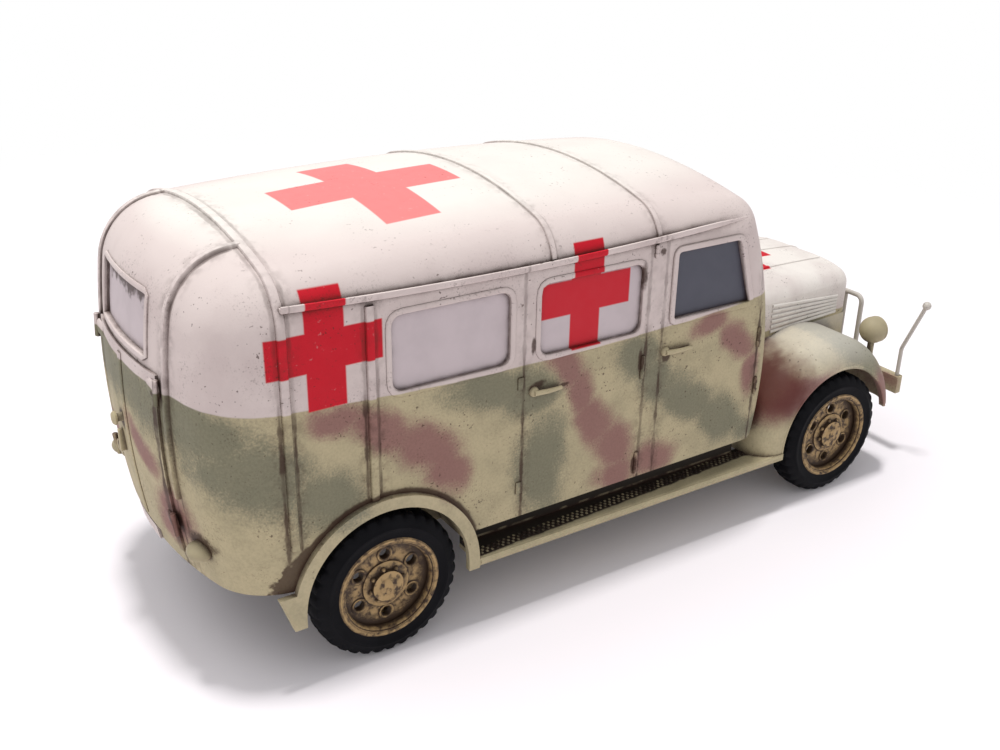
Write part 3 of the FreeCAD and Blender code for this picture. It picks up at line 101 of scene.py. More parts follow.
def spread(first, last, count):
    """Evenly spaced values from first to last, both included, with count gaps between them."""
    return [first + (last - first) * i / count for i in range(count + 1)]


def turns(count, start=0.0):
    """Evenly spaced angles of a full turn. The start is a share of one step."""
    return [2 * math.pi * (i + start) / count for i in range(count)]


def rgb(red, green, blue):
    """A colour written as 0 to 255, as the light that Blender works in."""
    return tuple((value / 255) ** 2.2 for value in (red, green, blue))


def darker(tone, share):
    return tuple(value * share for value in tone)


# Places on the body, in millimetres from the rear axle, the middle plane and the floor.
WHEEL_BASE = from_axle(FRONT_AXLE.x)
AXLE_Z = REAR_AXLE.z / MM
WALL_Y = half_width("side_doors")
REAR_HOOP_X = -7.1
SIDE_STRIP_X = -0.85
ROOF_SEAMS_X = (14.1, 24.1)
DOOR_SEAMS_X = (11.7, 23.4, 25.0, 36.0)
TAIL_BEAD_Y = 7.6
TAIL_DOOR_EDGE_Y = 6.25
BONNET_FOOT_Z = 15.5
ARCH_RADIUS = 7.75
FENDER_EDGE_RADIUS = 6.93
BOARD_TOP_Z = 6.0
# The boards' strip of painted shadow, under the body's overhang, narrows to the front by this much for each
# millimetre.
BOARD_SLOPE = 0.045
# Lines that sag: lowest height, its place along, and rise for each square millimetre off that place.
WAIST_Z, WAIST_X, WAIST_BEND = 21.3, 13, 0.0019
RAIL_Z, RAIL_X, RAIL_BEND = 28.72, 11, 0.0016

ROOF = ("roof_rear_panel", "roof_middle_panel", "cab_roof")
WALLS = ("cab_front", "side_panels", "side_doors", "cab_doors", "door_pillars")
TAIL = ("tail_panel", "tail_door_left", "tail_door_right", "rear_corners")
SHELL = (*ROOF, *WALLS, *TAIL)
BONNET = ("bonnet_left", "bonnet_right", "bonnet_sides")
WHEELS = ("front_left", "front_right", "rear_left", "rear_right")
AXLES = ("rear_axle", "front_axle", "steering_knuckles", "front_springs", "rear_springs")
DRIVE = ("gearbox", "engine", "propeller_shaft", "exhaust", "fuel_tank")

# Each paint, and the parts of the CAD model that wear it.
WEARERS = {
    "body_paint": SHELL,
    "bonnet_white": BONNET,
    "fender_paint": ("radiator_shell", "front_fenders", "front_bumper", "rear_mudguards"),
    "board_paint": ("running_boards",),
    "dark_pane": ("windscreen_glass", "cab_door_glass"),
    "pale_pane": ("side_window_glass", "side_door_glass", "tail_window_glass"),
    "pale_metal": ("radiator_guard", "width_rods"),
    "lamp_sand": ("headlamps", "headlamp_lenses"),
    "trim_white": ("number_plate",),
    "sand_paint": ("tail_lamps",),
    "chassis_earth": ("floor_pan", "radiator_grille", "chassis_frame", *AXLES, *DRIVE),
    "rim_sand": tuple(f"rim_{wheel}" for wheel in WHEELS),
}


# ---------------------------------------------------------------- what a user may change
def colour(name, description, *shade):
    named = {"name": name, "description": description}
    return FloatVectorProperty(**named, subtype="COLOR", size=3, min=0, max=1, default=rgb(*shade))


def size(name, description, default):
    described = description + ", in millimetres"
    return FloatProperty(name=name, description=described, default=default, min=0, soft_max=100)


class AMB_PG_colours(PropertyGroup):
    """Paint colours."""

    white: colour("White", "Roof and upper body", 206, 192, 187)
    white_shade: colour("White shade", "Thin places in the white", 181, 164, 161)
    # Painted highlight: this lighter white is laid on the tops of the roof and bonnet and on top of the front
    # fenders, standing for the strong light from above; the louvres also take it as their own tone.
    lighter_white_and_highlight: colour("White top", "Clean white on top of the roof and bonnet", 222, 216, 208)
    sand: colour("Sand", "Base colour of the lower body", 180, 167, 134)
    green: colour("Green", "Soft green patches", 112, 111, 92)
    brown: colour("Brown", "Red-brown patches", 134, 94, 90)
    wash: colour("Wash", "Dark wash that lies in seams", 58, 36, 26)
    red: colour("Red", "Crosses on the sides and bonnet", 192, 12, 36)
    # Painted highlight: the roof cross is a lighter, pinker red than the side crosses, standing for the
    # strong light on the roof.
    roof_red_highlight: colour("Roof red", "Cross on the roof, thinner paint", 226, 122, 120)
    pale_pane: colour("Pale pane", "Windows of the sick bay", 194, 181, 183)
    dark_pane: colour("Dark pane", "Windows of the cab", 72, 73, 84)
    stain_and_shadow: colour("Stain", "Rusty stain where the fenders meet the cab", 82, 30, 23)
    tyre: colour("Tyre", "Tyres", 15, 15, 19)
    rim: colour("Rim", "Wheel discs", 172, 142, 96)
    earth: colour("Earth", "Chassis", 60, 50, 42)
    pale_metal: colour("Pale metal", "Guard and width rods", 190, 183, 174)


class AMB_PG_sizes(PropertyGroup):
    """Sizes of the raised details."""

    strip_half: size("Strip", "Half width of the raised strips on the sides", 0.33)
    strip_rise: size("Strip rise", "How far the strips stand out", 0.22)
    seam_half: size("Seam", "Half width of the roof's seam beads", 0.24)
    seam_rise: size("Seam rise", "How far the seam beads stand up", 0.16)
    frame_half: size("Frame", "Half width of a window's frame", 0.22)
    frame_rise: size("Frame rise", "How far a window's frame stands out", 0.14)
    rail_reach: size("Rail reach", "How far the drip rail stands out", 0.42)
    rail_height: size("Rail height", "Height of the drip rail", 0.42)
    lug_rise: size("Lug", "Height of the tyre's lugs", 0.22)
    lugs: IntProperty(name="Lugs", description="Lugs round a tyre", default=34, min=8, max=80)
    studs: IntProperty(name="Studs", description="Nuts round a hub", default=8, min=3, max=16)


class AMB_PG_view(PropertyGroup):
    """Camera and light."""

    camera_place: FloatVectorProperty(
        name="Camera place",
        description="Millimetres from the rear axle's middle on the floor",
        default=(-31.689, -76.589, 55.231),
        size=3,
    )
    yaw: FloatProperty(name="Yaw", description="Degrees from straight ahead to the left", default=56.767)
    pitch: FloatProperty(name="Pitch", description="Degrees below level", default=24.421)
    roll: FloatProperty(name="Roll", description="Degrees round the line of sight", default=0.988)
    lens: FloatProperty(name="Lens", description="Focal length for a 36 mm sensor", default=40.676, min=10)
    sky: FloatProperty(name="Sky", description="Strength of the even light", default=0.68, min=0)
    lamp: FloatProperty(name="Lamp", description="Watts of the lamp above", default=0.95, min=0)


# ---------------------------------------------------------------- shader maths
# How far a soft patch reaches through the body: further than the model is wide.
THROUGH = 10000


def two_ways(operation):
    """A sum on a value, and the same sum with the value on its right-hand side."""

    def forward(self, other):
        return self.maths(operation, self, other)

    def reflected(self, other):
        return self.maths(operation, other, self)

    return forward, reflected


class Wire:
    """A value in a node tree. Arithmetic on it adds the nodes that do the sum."""

    def __init__(self, nodes, socket):
        self.nodes = nodes
        self.socket = socket

    def maths(self, operation, *values):
        return self.nodes.node("ShaderNodeMath", {"operation": operation}, values)

    __add__, __radd__ = two_ways("ADD")
    __sub__, __rsub__ = two_ways("SUBTRACT")
    __mul__, __rmul__ = two_ways("MULTIPLY")
    __or__, __ror__ = two_ways("MAXIMUM")

    def __abs__(self):
        return self.maths("ABSOLUTE", self)


class Nodes:
    """A node tree under construction."""

    def __init__(self, tree):
        self.tree = tree
        tree.nodes.clear()

    def node(self, kind, settings=None, inputs=(), output=0):
        """Add a node: its settings first, then the values or links of its sockets."""
        made = self.tree.nodes.new(kind)
        for name, value in (settings or {}).items():
            setattr(made, name, value)
        pairs = inputs.items() if isinstance(inputs, dict) else enumerate(inputs)
        for key, value in pairs:
            socket = made.inputs[key]
            if isinstance(value, Wire):
                self.tree.links.new(value.socket, socket)
            elif hasattr(value, "__len__") and socket.type == "RGBA":
                socket.default_value = (*value[:3], 1)
            else:
                socket.default_value = value
        return Wire(self, made.outputs[output]) if made.outputs else made


class Paint(Nodes):
    """A material under construction. Places in it are millimetres from the rear axle."""

    def __init__(self, name):
        self.material = bpy.data.materials.new(name)
        self.material.use_nodes = True
        super().__init__(self.material.node_tree)
        place = self.node("ShaderNodeTexCoord", output="Object")
        moved = self.vector("SUBTRACT", place, (REAR_AXLE.x, 0, 0))
        self.place = self.vector("MULTIPLY", moved, (1 / MM, 1 / MM, 1 / MM))
        self.x = self.node("ShaderNodeSeparateXYZ", inputs=[self.place], output="X")
        self.y = self.node("ShaderNodeSeparateXYZ", inputs=[self.place], output="Y")
        self.z = self.node("ShaderNodeSeparateXYZ", inputs=[self.place], output="Z")

    def vector(self, operation, *values, output=0):
        return self.node("ShaderNodeVectorMath", {"operation": operation}, values, output)

    def mix(self, factor, first, second):
        """Blend two colours."""
        settings = {"data_type": "RGBA", "clamp_factor": True}
        return self.node("ShaderNodeMix", settings, {0: factor, 6: first, 7: second}, output=2)

    def fade(self, value, low, high):
        """0 below low and 1 above high, or the other way round where low is the greater."""
        span = (high, low, 1, 0) if low > high else (low, high, 0, 1)
        sockets = {"Value": value, **dict(zip(("From Min", "From Max", "To Min", "To Max"), span))}
        return self.node("ShaderNodeMapRange", {"interpolation_type": "SMOOTHSTEP"}, sockets, "Result")

    def noise(self, grain, detail=3, roughness=0.55):
        """Cloudy noise, 0 to 1, whose grain is in millimetres."""
        sockets = {"Vector": self.place, "Scale": 1 / grain, "Detail": detail, "Roughness": roughness}
        return self.node("ShaderNodeTexNoise", inputs=sockets, output="Fac")

    def clouds(self, grain, detail, low, high):
        """Noise, faded so that only its crests show."""
        return self.fade(self.noise(grain, detail), low, high)

    def specks(self, grain):
        """Small uneven dots, in loose clouds."""
        clouds = self.clouds(grain * 12, 2, 0.46, 0.62)
        return self.clouds(grain, 1, 0.68, 0.73) * clouds

    def crevices(self, reach):
        """1 in corners and gaps, 0 on open faces."""
        settings = {"samples": 6, "only_local": False}
        return 1 - self.node("ShaderNodeAmbientOcclusion", settings, {"Distance": reach * MM}, "AO")

    def seam(self, distance, width):
        """A ragged line of wash where the distance is about nought."""
        spread_out = width * (0.45 + 0.9 * self.clouds(1.7, 4, 0.38, 0.66))
        worn = 0.5 + 0.5 * self.clouds(2.6, 4, 0.38, 0.6)
        halo = self.fade(abs(distance), width + 0.9, 0) * self.clouds(0.8, 4, 0.4, 0.68) * 0.5
        return self.fade(abs(distance) - spread_out, 0.12, -0.08) * worn | halo

    def patches(self, place, rows, behind=False):
        """Soft ovals, seen from the side or from behind."""
        total = None
        for middle, up, half_long, half_high, turn in rows:
            turned = math.radians(turn)
            sockets = {
                "Vector": place,
                "Location": (0, middle, up) if behind else (middle, 0, up),
                "Rotation": (turned, 0, 0) if behind else (0, turned, 0),
                "Scale": (THROUGH, half_long, half_high) if behind else (half_long, THROUGH, half_high),
            }
            local = self.node("ShaderNodeMapping", {"vector_type": "TEXTURE"}, sockets)
            mask = self.fade(self.vector("LENGTH", local, output="Value"), 1.6, 0.1)
            total = mask if total is None else total | mask
        return total

    def cross(self, across, along, half_long, half_wide):
        """An upright cross with equal arms."""
        edge = 0.07
        across, along = abs(across), abs(along)
        arms = ((across, half_long), (along, half_wide), (along, half_long), (across, half_wide))
        inside = [self.fade(value, half + edge, half - edge) for value, half in arms]
        return (inside[0] * inside[1]) | (inside[2] * inside[3])

    def finish(self, base, roughness, height, strength=0.35, depth=0.03, gloss=0.5):
        """Join the shader: what varies goes to colour, roughness and bump only."""
        sockets = {"Strength": strength, "Distance": depth * MM, "Height": height}
        bump = self.node("ShaderNodeBump", inputs=sockets, output="Normal")
        sockets = {"Base Color": base, "Roughness": roughness, "Normal": bump, "Specular IOR Level": gloss}
        shader = self.node("ShaderNodeBsdfPrincipled", inputs=sockets, output="BSDF")
        self.node("ShaderNodeOutputMaterial", inputs={"Surface": shader})
        return self.material


# Soft patches: place along the body (across the tail in the tail's own), height, half length, half
# height and turn in degrees.
GREEN_PATCHES = (
    (-12.6, 21.0, 4.0, 2.6, 30),
    (-9.2, 17.8, 4.6, 3.0, 30),
    (-4.6, 14.6, 3.4, 2.4, 35),
    (9.6, 20.2, 5.4, 1.9, 10),
    (12.2, 19.0, 2.4, 2.6, 0),
    (13.8, 12.4, 2.7, 5.4, 0),
    (22.8, 20.0, 2.6, 2.2, 0),
    (24.8, 17.2, 3.2, 2.0, 50),
    (28.2, 14.6, 4.6, 1.9, 40),
    (32.2, 11.4, 4.6, 2.0, 30),
    (36.4, 9.6, 2.6, 1.4, 0),
    (50.6, 13.6, 5.4, 1.7, 38),
)
BROWN_PATCHES = (
    (-3.0, 20.9, 3.0, 1.5, 15),
    (0.4, 18.9, 3.6, 1.9, 40),
    (3.4, 16.8, 3.8, 2.4, 45),
    (5.0, 14.4, 2.6, 2.0, 60),
    (15.4, 20.4, 2.4, 1.5, 60),
    (16.9, 17.8, 3.0, 1.5, 62),
    (18.9, 15.0, 3.2, 1.7, 48),
    (20.9, 12.2, 3.0, 1.9, 60),
    (21.0, 9.4, 2.4, 2.2, 0),
    (24.8, 9.6, 2.6, 2.2, 0),
    (30.4, 20.8, 2.4, 1.3, 0),
    (33.4, 18.6, 2.8, 1.7, 50),
    (35.4, 15.4, 1.3, 2.4, 0),
    (42.4, 11.6, 4.6, 1.4, -24),
    (53.6, 9.4, 3.0, 1.5, 55),
    (58.2, 7.6, 1.2, 1.6, 0),
)
TAIL_BROWN = (
    (-3.0, 16.8, 3.4, 1.5, 22),
    (-6.4, 12.6, 3.0, 2.6, 0),
    (5.2, 14.6, 3.4, 1.9, -25),
)
SIDE_STAINS = (
    (12.9, 19.4, 1.0, 0.35, -14),
    (15.4, 18.9, 0.6, 0.2, 0),
    (12.5, 22.7, 0.22, 0.8, 0),
    (22.95, 19.2, 0.3, 1.3, 0),
    (22.95, 9.7, 0.3, 1.0, 0),
    (25.6, 18.9, 0.5, 0.6, 30),
    (27.4, 19.3, 1.0, 0.22, 0),
    (22.7, 26.4, 0.35, 1.3, 0),
    (24.5, 28.0, 0.35, 0.4, 0),
    (36.0, 18.6, 0.28, 1.1, 0),
    (36.2, 14.0, 0.25, 0.9, 0),
)
TAIL_STAINS = (
    (-9.3, 11.6, 1.9, 0.9, 0),
    (9.3, 11.6, 1.9, 0.9, 0),
    (0.85, 17.4, 0.9, 0.9, 0),
    (-6.4, 11.6, 0.4, 1.8, 0),
    (-6.6, 22.2, 0.6, 0.4, 0),
)

# Crosses on the sides: place along the body, height and half width of an arm.
SIDE_CROSSES = ((-4.1, 26.0, 1.42), (17.35, 25.8, 1.38))
SIDE_CROSS_HALF = 4.2


def waist(paint):
    """Height of the line between white and camouflage: it sags a little between its ends."""
    off_middle = paint.x - WAIST_X
    return WAIST_Z + WAIST_BEND * off_middle * off_middle + 0.16 * (paint.noise(2.2, 2) - 0.5)


def bonnet_foot(paint):
    """Height of the line between white and camouflage on the bonnet."""
    return BONNET_FOOT_Z + 0.3 * (paint.noise(2.0, 2) - 0.5)


def camouflage(paint, colours):
    """Sand with soft green and red-brown patches."""
    sockets = {"Vector": paint.place, "Scale": 0.2, "Detail": 2.0}
    wobble = paint.node("ShaderNodeTexNoise", inputs=sockets, output="Color")
    shift = paint.vector("SUBTRACT", wobble, (0.5, 0.5, 0.5))
    warped = paint.vector("ADD", paint.place, paint.vector("MULTIPLY", shift, (3.2, 3.2, 3.2)))
    spray = 0.85 * (paint.noise(0.17, 2) - 0.5) + 0.5 * (paint.noise(1.4, 4) - 0.5)
    green = paint.fade(paint.patches(warped, GREEN_PATCHES) + spray, 0.1, 0.86)
    tail = paint.patches(warped, TAIL_BROWN, behind=True) * paint.fade(paint.x, -11.4, -12.4)
    brown = paint.fade((paint.patches(warped, BROWN_PATCHES) | tail) + 0.7 * spray, 0.12, 0.9)
    mottle = paint.clouds(0.2, 2, 0.36, 0.7)
    shade = paint.clouds(2.8, 5, 0.35, 0.72)
    dull = tuple(value * share for value, share in zip(colours.sand, (0.6, 0.62, 0.62)))
    sand = paint.mix(shade * 0.42 + mottle * 0.26, colours.sand, dull)
    green_now = paint.mix(mottle * 0.36, colours.green, darker(colours.green, 0.62))
    brown_now = paint.mix(mottle * 0.3, colours.brown, darker(colours.brown, 0.72))
    colour_now = paint.mix(green * 0.86, sand, green_now)
    return paint.mix(brown * 0.9, colour_now, brown_now)


def side_crosses(paint):
    """The crosses on both sides of the body."""
    rear, door = (
        paint.cross(paint.x - middle, paint.z - height, SIDE_CROSS_HALF, half_wide)
        for middle, height, half_wide in SIDE_CROSSES
    )
    return (rear | door) * paint.fade(abs(paint.y), 10.4, 10.8)


def roof_cross(paint):
    """The cross on the roof, a little off the middle and slightly turned."""
    turn = math.radians(2.4)
    u, v = paint.x - 5.0, paint.y + 1.7
    across = math.cos(turn) * u + math.sin(turn) * v
    along = math.cos(turn) * v - math.sin(turn) * u
    return paint.cross(across, along, 7.1, 2.25) * paint.fade(paint.z, 30.4, 30.6)


def bonnet_cross(paint):
    return paint.cross(paint.x - 45.0, paint.y, 4.3, 1.65) * paint.fade(paint.z, 18.2, 18.6)


def washed(paint, base, colours, strength, reach=0.9):
    """Dark wash in the crevices of a painted colour."""
    patchy = 0.5 + 1.1 * paint.noise(0.9, 3)
    amount = paint.fade(paint.crevices(reach) * patchy, 0.14, 0.58) * strength
    return paint.mix(amount, base, colours.wash)


def seam_wash(paint):
    """Wash along the strips, the roof's seams, the doors' edges and the wheel openings."""
    on_side = paint.fade(abs(paint.y), 12.2, 12.9)
    above_rail = paint.fade(paint.z, 28.9, 29.4)
    below_rail = 1 - above_rail
    faint_above = 1 - 0.5 * paint.fade(paint.z, 20.5, 22.5)
    hoop = [paint.seam(paint.x - REAR_HOOP_X - side, width) for side, width in ((-0.52, 0.17), (0.52, 0.12))]
    total = (hoop[0] | hoop[1]) * faint_above
    strip = [paint.seam(paint.x - SIDE_STRIP_X - side, width) for side, width in ((-0.51, 0.16), (0.51, 0.1))]
    total = total | (strip[0] | strip[1]) * on_side * below_rail * faint_above
    for roof_x in ROOF_SEAMS_X:
        total = total | paint.seam(abs(paint.x - roof_x) - 0.3, 0.07) * above_rail * 0.5
    for door_x in DOOR_SEAMS_X:
        total = total | paint.seam(paint.x - door_x, 0.15) * on_side * below_rail * faint_above
    at_tail = paint.fade(paint.x, -7.7, -8.1)
    total = total | paint.seam(abs(abs(paint.y) - TAIL_BEAD_Y) - 0.38, 0.09) * at_tail * 0.8
    low_tail = paint.fade(paint.x, -11.8, -12.2) * paint.fade(paint.z, 22.0, 21.6)
    total = total | paint.seam(abs(paint.y) - TAIL_DOOR_EDGE_Y, 0.26) * low_tail
    run = paint.node("ShaderNodeCombineXYZ", inputs=[paint.x, 0, paint.z - AXLE_Z])
    off_arch = paint.vector("LENGTH", run, output="Value") - ARCH_RADIUS
    thick = 0.34 + 1.2 * paint.fade(paint.x, -3.0, -7.4) * paint.fade(paint.z, 12.5, 9)
    ragged = thick * (0.4 + 1.2 * paint.noise(0.9, 3))
    total = total | paint.fade(off_arch - ragged, 0.16, -0.1) * on_side * paint.fade(paint.z, 7, 8)
    ragged = 0.15 + 1.5 * paint.noise(0.45, 4, 0.7)
    beside = paint.fade(paint.patches(paint.place, SIDE_STAINS) * ragged, 0.22, 0.75) * on_side
    behind = paint.fade(paint.patches(paint.place, TAIL_STAINS, behind=True) * ragged, 0.22, 0.75)
    return total | beside | behind * paint.fade(paint.x, -8.5, -9.5)


def body_paint(name, colours, level, top, seams=True, crosses=(), wash=0.92):
    """White, lighter towards the top as a painted highlight, with camouflage below a level, and red crosses.
    """
    paint = Paint(name)
    cloud = paint.clouds(4.5, 4, 0.35, 0.7)
    # Painted highlight: the white turns lighter towards the top, and on the roof the mottling, specks, grime
    # and wash below are weakened, so that the top reads as brightly lit.
    top_highlight = paint.mix(paint.fade(paint.z, *top) * 0.85, colours.white, colours.lighter_white_and_highlight)
    roof = paint.fade(paint.z, 29.2, 31.2)
    base = paint.mix(cloud * 0.45 * (1 - 0.75 * roof), top_highlight, colours.white_shade)
    above = paint.fade(paint.z - level(paint), -0.06, 0.08)
    base = paint.mix(above, camouflage(paint, colours), base)
    chips = paint.clouds(0.45, 3, 0.66, 0.74)
    for cross, red in crosses:
        thin = paint.clouds(0.8, 4, 0.4, 0.8) * 0.2
        worn = paint.mix(thin, red, darker(red, 0.75))
        base = paint.mix(cross(paint) * (1 - chips * 0.2), base, worn)
    if seams:
        base = paint.mix(seam_wash(paint) * 0.85, base, colours.wash)
    base = paint.mix(paint.specks(0.26) * (0.7 - 0.3 * roof), base, colours.wash)
    grime = paint.clouds(0.16, 2, 0.56, 0.68) * paint.clouds(3.4, 4, 0.44, 0.7)
    base = paint.mix(grime * (0.45 - 0.38 * roof), base, colours.wash)
    base = washed(paint, base, colours, wash * (1 - 0.45 * roof))
    grain = paint.noise(0.12, 2) + 0.6 * paint.noise(0.6, 3)
    return paint.finish(base, 0.56 + 0.2 * paint.noise(1.5, 2), grain, gloss=0.3)


def pane_paint(name, colours, tone, roughness, wash):
    """A painted window pane, cloudy and a little dirty at its edges."""
    paint = Paint(name)
    cloud = paint.clouds(2.2, 4, 0.35, 0.7)
    base = paint.mix(cloud * 0.3, tone, darker(tone, 0.78))
    if name == "pale_pane":
        base = paint.mix(side_crosses(paint), base, colours.red)
        at_tail = paint.fade(paint.x, -9, -10)
        # The tail pane is darker in a ragged band across its top.
        top_band = paint.fade(paint.z + 2.4 * paint.noise(0.7, 4), 28.7, 29.5) * at_tail
        base = paint.mix(top_band * 0.85, base, colours.wash)
    base = washed(paint, base, colours, wash, 0.7)
    rough = roughness + 0.2 * paint.noise(1.0, 2)
    return paint.finish(base, rough, paint.noise(0.25, 3), 0.3, 0.02, 0.4)


def board_paint(name, colours):
    """Sand with a painted near-black shadow along the inner edge, under the body's overhang, lifted in
    patches on the tread.
    """
    paint = Paint(name)
    base = camouflage(paint, colours)
    # Painted shadow: near-black where the body's lower edge shades the board, weaker in patches on the raised
    # tread.
    edge = 14.15 - BOARD_SLOPE * paint.x + 0.5 * (paint.noise(1.2, 3) - 0.5)
    tread = paint.fade(paint.z, 6.04, 6.08) * paint.fade(paint.z, 6.3, 6.2)
    shadow_lifted_on_tread = 1 - 0.7 * tread * paint.clouds(1.4, 3, 0.42, 0.62)
    stain_and_shadow = paint.fade(abs(paint.y) - edge, 0.12, -0.12) * paint.fade(paint.z, 5.7, 5.85) * shadow_lifted_on_tread
    base = paint.mix(stain_and_shadow * 0.97, base, darker(colours.wash, 0.22))
    base = washed(paint, base, colours, 0.9, 0.6)
    return paint.finish(base, 0.62 + 0.2 * paint.noise(1.5, 2), paint.noise(0.2, 2))


def fender_paint(name, colours):
    """Camouflage with a painted pale highlight on top and a rusty stain where the fender meets the cab."""
    paint = Paint(name)
    base = washed(paint, camouflage(paint, colours), colours, 0.9, 1.2)
    ragged = paint.x + 4.0 * (paint.noise(2.2, 4) - 0.5)
    cab_joint = paint.fade(ragged, 45.0, 41.0) * paint.fade(paint.x, 30, 32) * paint.fade(paint.z, 8, 11)
    # Painted highlight: the fender's top towards the front is lightened with the lighter white.
    dust_and_highlight = paint.fade(paint.z, 11.5, 15.5) * paint.fade(paint.x, 40, 44)
    base = paint.mix(dust_and_highlight * 0.4, base, colours.lighter_white_and_highlight)
    base = paint.mix(cab_joint * 0.95, base, colours.stain_and_shadow)
    base = paint.mix(paint.specks(0.3) * 0.5, base, colours.wash)
    return paint.finish(base, 0.6 + 0.2 * paint.noise(1.5, 2), paint.noise(0.15, 2))


def plain_paint(name, tone, colours, wash=0.8, rough=0.66):
    """One colour with cloudy shade, specks and wash."""
    paint = Paint(name)
    cloud = paint.clouds(1.2, 4, 0.3, 0.75)
    base = paint.mix(cloud * 0.3, tone, darker(tone, 0.62))
    base = paint.mix(paint.specks(0.3) * 0.5, base, colours.wash)
    base = washed(paint, base, colours, wash, 0.8)
    grain = paint.noise(0.15, 2) + 0.5 * paint.noise(0.6, 2)
    return paint.finish(base, rough + 0.15 * (paint.noise(1.0, 2) - 0.5), grain, 0.4)


def rubber(name, colours):
    """Near-black rubber, dusty on its faces, with painted shade in the hollows between the lugs."""
    paint = Paint(name)
    dust_and_highlight = paint.clouds(1.6, 4, 0.4, 0.72)
    dusty = tuple(value * 1.8 + 0.006 for value in colours.tyre)
    base = paint.mix(dust_and_highlight * 0.35, colours.tyre, dusty)
    # Painted shade: the hollows between the lugs are darkened to near black.
    dark = paint.fade(paint.crevices(0.8), 0.2, 0.7)
    base = paint.mix(dark * 0.6, base, (0.006, 0.006, 0.009))
    rough = 0.62 + 0.2 * paint.noise(0.8, 2)
    return paint.finish(base, rough, paint.noise(0.14, 2), 0.5, gloss=0.14)


def rim_paint(name, colours):
    """Sand with blots of dark wash that gather round the hub, the nuts and the holes."""
    paint = Paint(name)
    cloud = paint.clouds(0.8, 4, 0.35, 0.7)
    base = paint.mix(cloud * 0.3, colours.rim, darker(colours.rim, 0.7))
    blots = paint.fade(paint.noise(0.5, 4) + 1.1 * paint.crevices(1.1), 0.47, 0.66)
    base = paint.mix(blots * 0.94, base, darker(colours.wash, 0.6))
    return paint.finish(base, 0.5 + 0.25 * paint.noise(0.8, 2), paint.noise(0.2, 2), 0.4)


# ---------------------------------------------------------------- shapes
# Where a probing line starts, well outside the body: along its own direction, in metres.
OUTSIDE = 60 * MM


class Probe:
    """Finds where a line from outside first meets some nodes."""

    def __init__(self, nodes):
        corners, faces = [], []
        for name in nodes:
            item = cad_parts[name]
            offset = len(corners)
            corners.extend(item.matrix_world @ vertex.co for vertex in item.data.vertices)
            faces.extend([offset + i for i in face.vertices] for face in item.data.polygons)
        self.tree = BVHTree.FromPolygons(corners, faces)

    def hit(self, start, direction):
        place, normal, _, _ = self.tree.ray_cast(start, direction)
        if place is None:
            raise RuntimeError(f"nothing was met from {start} towards {direction}")
        return place, -normal if normal.dot(direction) > 0 else normal

    def follow(self, rays, across):
        """A path for strip_mesh over the surface that the rays, each a start and a direction, meet."""
        path = []
        for start, direction in rays:
            place, normal = self.hit(start, direction)
            path.append((place, across, (normal - across * normal.dot(across)).normalized()))
        return path


def join_rings(mesh, one, two):
    """Faces between two rings of corners, triangles where a ring has shrunk to a point."""
    for i in range(len(one)):
        j = (i + 1) % len(one)
        corners = list(dict.fromkeys((one[i], one[j], two[j], two[i])))
        if len(corners) > 2:
            mesh.faces.new(corners)


def strip_mesh(mesh, path, section, closed=False):
    """Carry a section, pairs of (across, out) in millimetres, along (place, across, out)."""
    rings = []
    for place, across, out in path:
        rings.append([mesh.verts.new(place + across * (u * MM) + out * (v * MM)) for u, v in section])
    for one, two in zip(rings, rings[1:]):
        join_rings(mesh, one, two)
    if closed:
        join_rings(mesh, rings[-1], rings[0])
    else:
        mesh.faces.new(rings[0])
        mesh.faces.new(list(reversed(rings[-1])))


def rib_section(half, rise):
    """A low rounded bar, its foot a little below the surface."""
    sink = 0.12
    left = [(-half, -sink), (-half, rise * 0.35), (-half * 0.8, rise * 0.85), (-half * 0.4, rise)]
    return (*left, *((-u, v) for u, v in reversed(left)))


def round_section(radius, steps=10):
    return [(radius * math.cos(angle), radius * math.sin(angle)) for angle in turns(steps)]


def block(mesh, centre, half, bevel):
    """A block with rounded edges, all in millimetres."""
    verts = bmesh.ops.create_cube(mesh, size=2)["verts"]
    scale = Matrix.Diagonal([value * MM for value in half] + [1])
    bmesh.ops.transform(mesh, matrix=Matrix.Translation(at(*centre)) @ scale, verts=verts)
    edges = list({edge for vert in verts for edge in vert.link_edges})
    rounding = {"segments": 3, "profile": 0.6, "affect": "EDGES", "clamp_overlap": True}
    bmesh.ops.bevel(mesh, geom=edges, offset=bevel * MM, **rounding)


def lathe(mesh, centre, axis, profile, steps):
    """Turn a profile, pairs of (along the axis, radius) in millimetres, round an axis."""
    axis = Vector(axis).normalized()
    side = axis.orthogonal().normalized()
    other = axis.cross(side)
    spokes = [side * math.cos(angle) + other * math.sin(angle) for angle in turns(steps)]
    rings = []
    for along, radius in profile:
        middle = at(*centre) + axis * (along * MM)
        if radius == 0:
            rings.append([mesh.verts.new(middle)] * steps)
        else:
            rings.append([mesh.verts.new(middle + spoke * (radius * MM)) for spoke in spokes])
    for one, two in zip(rings, rings[1:]):
        join_rings(mesh, one, two)


def dome(mesh, centre, axis, radius, height, steps):
    """A rounded head, flat at its foot."""
    arc = [math.radians(degrees) for degrees in (22, 45, 68)]
    crown = [(height * math.sin(angle), radius * math.cos(angle)) for angle in arc]
    lathe(mesh, centre, axis, [(0, 0), (0, radius), *crown, (height, 0)], steps)


def make(name, mesh, material, body="root", smooth=40):
    """Turn a finished bmesh into a piece that rides on a body."""
    bmesh.ops.recalc_face_normals(mesh, faces=mesh.faces)
    data = bpy.data.meshes.new(name)
    mesh.to_mesh(data)
    mesh.free()
    data.materials.append(bpy.data.materials[material])
    data.shade_smooth()
    data.set_sharp_from_angle(angle=math.radians(smooth))
    item = bpy.data.objects.new(name, data)
    bpy.context.scene.collection.objects.link(item)
    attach(item, body)
    return item


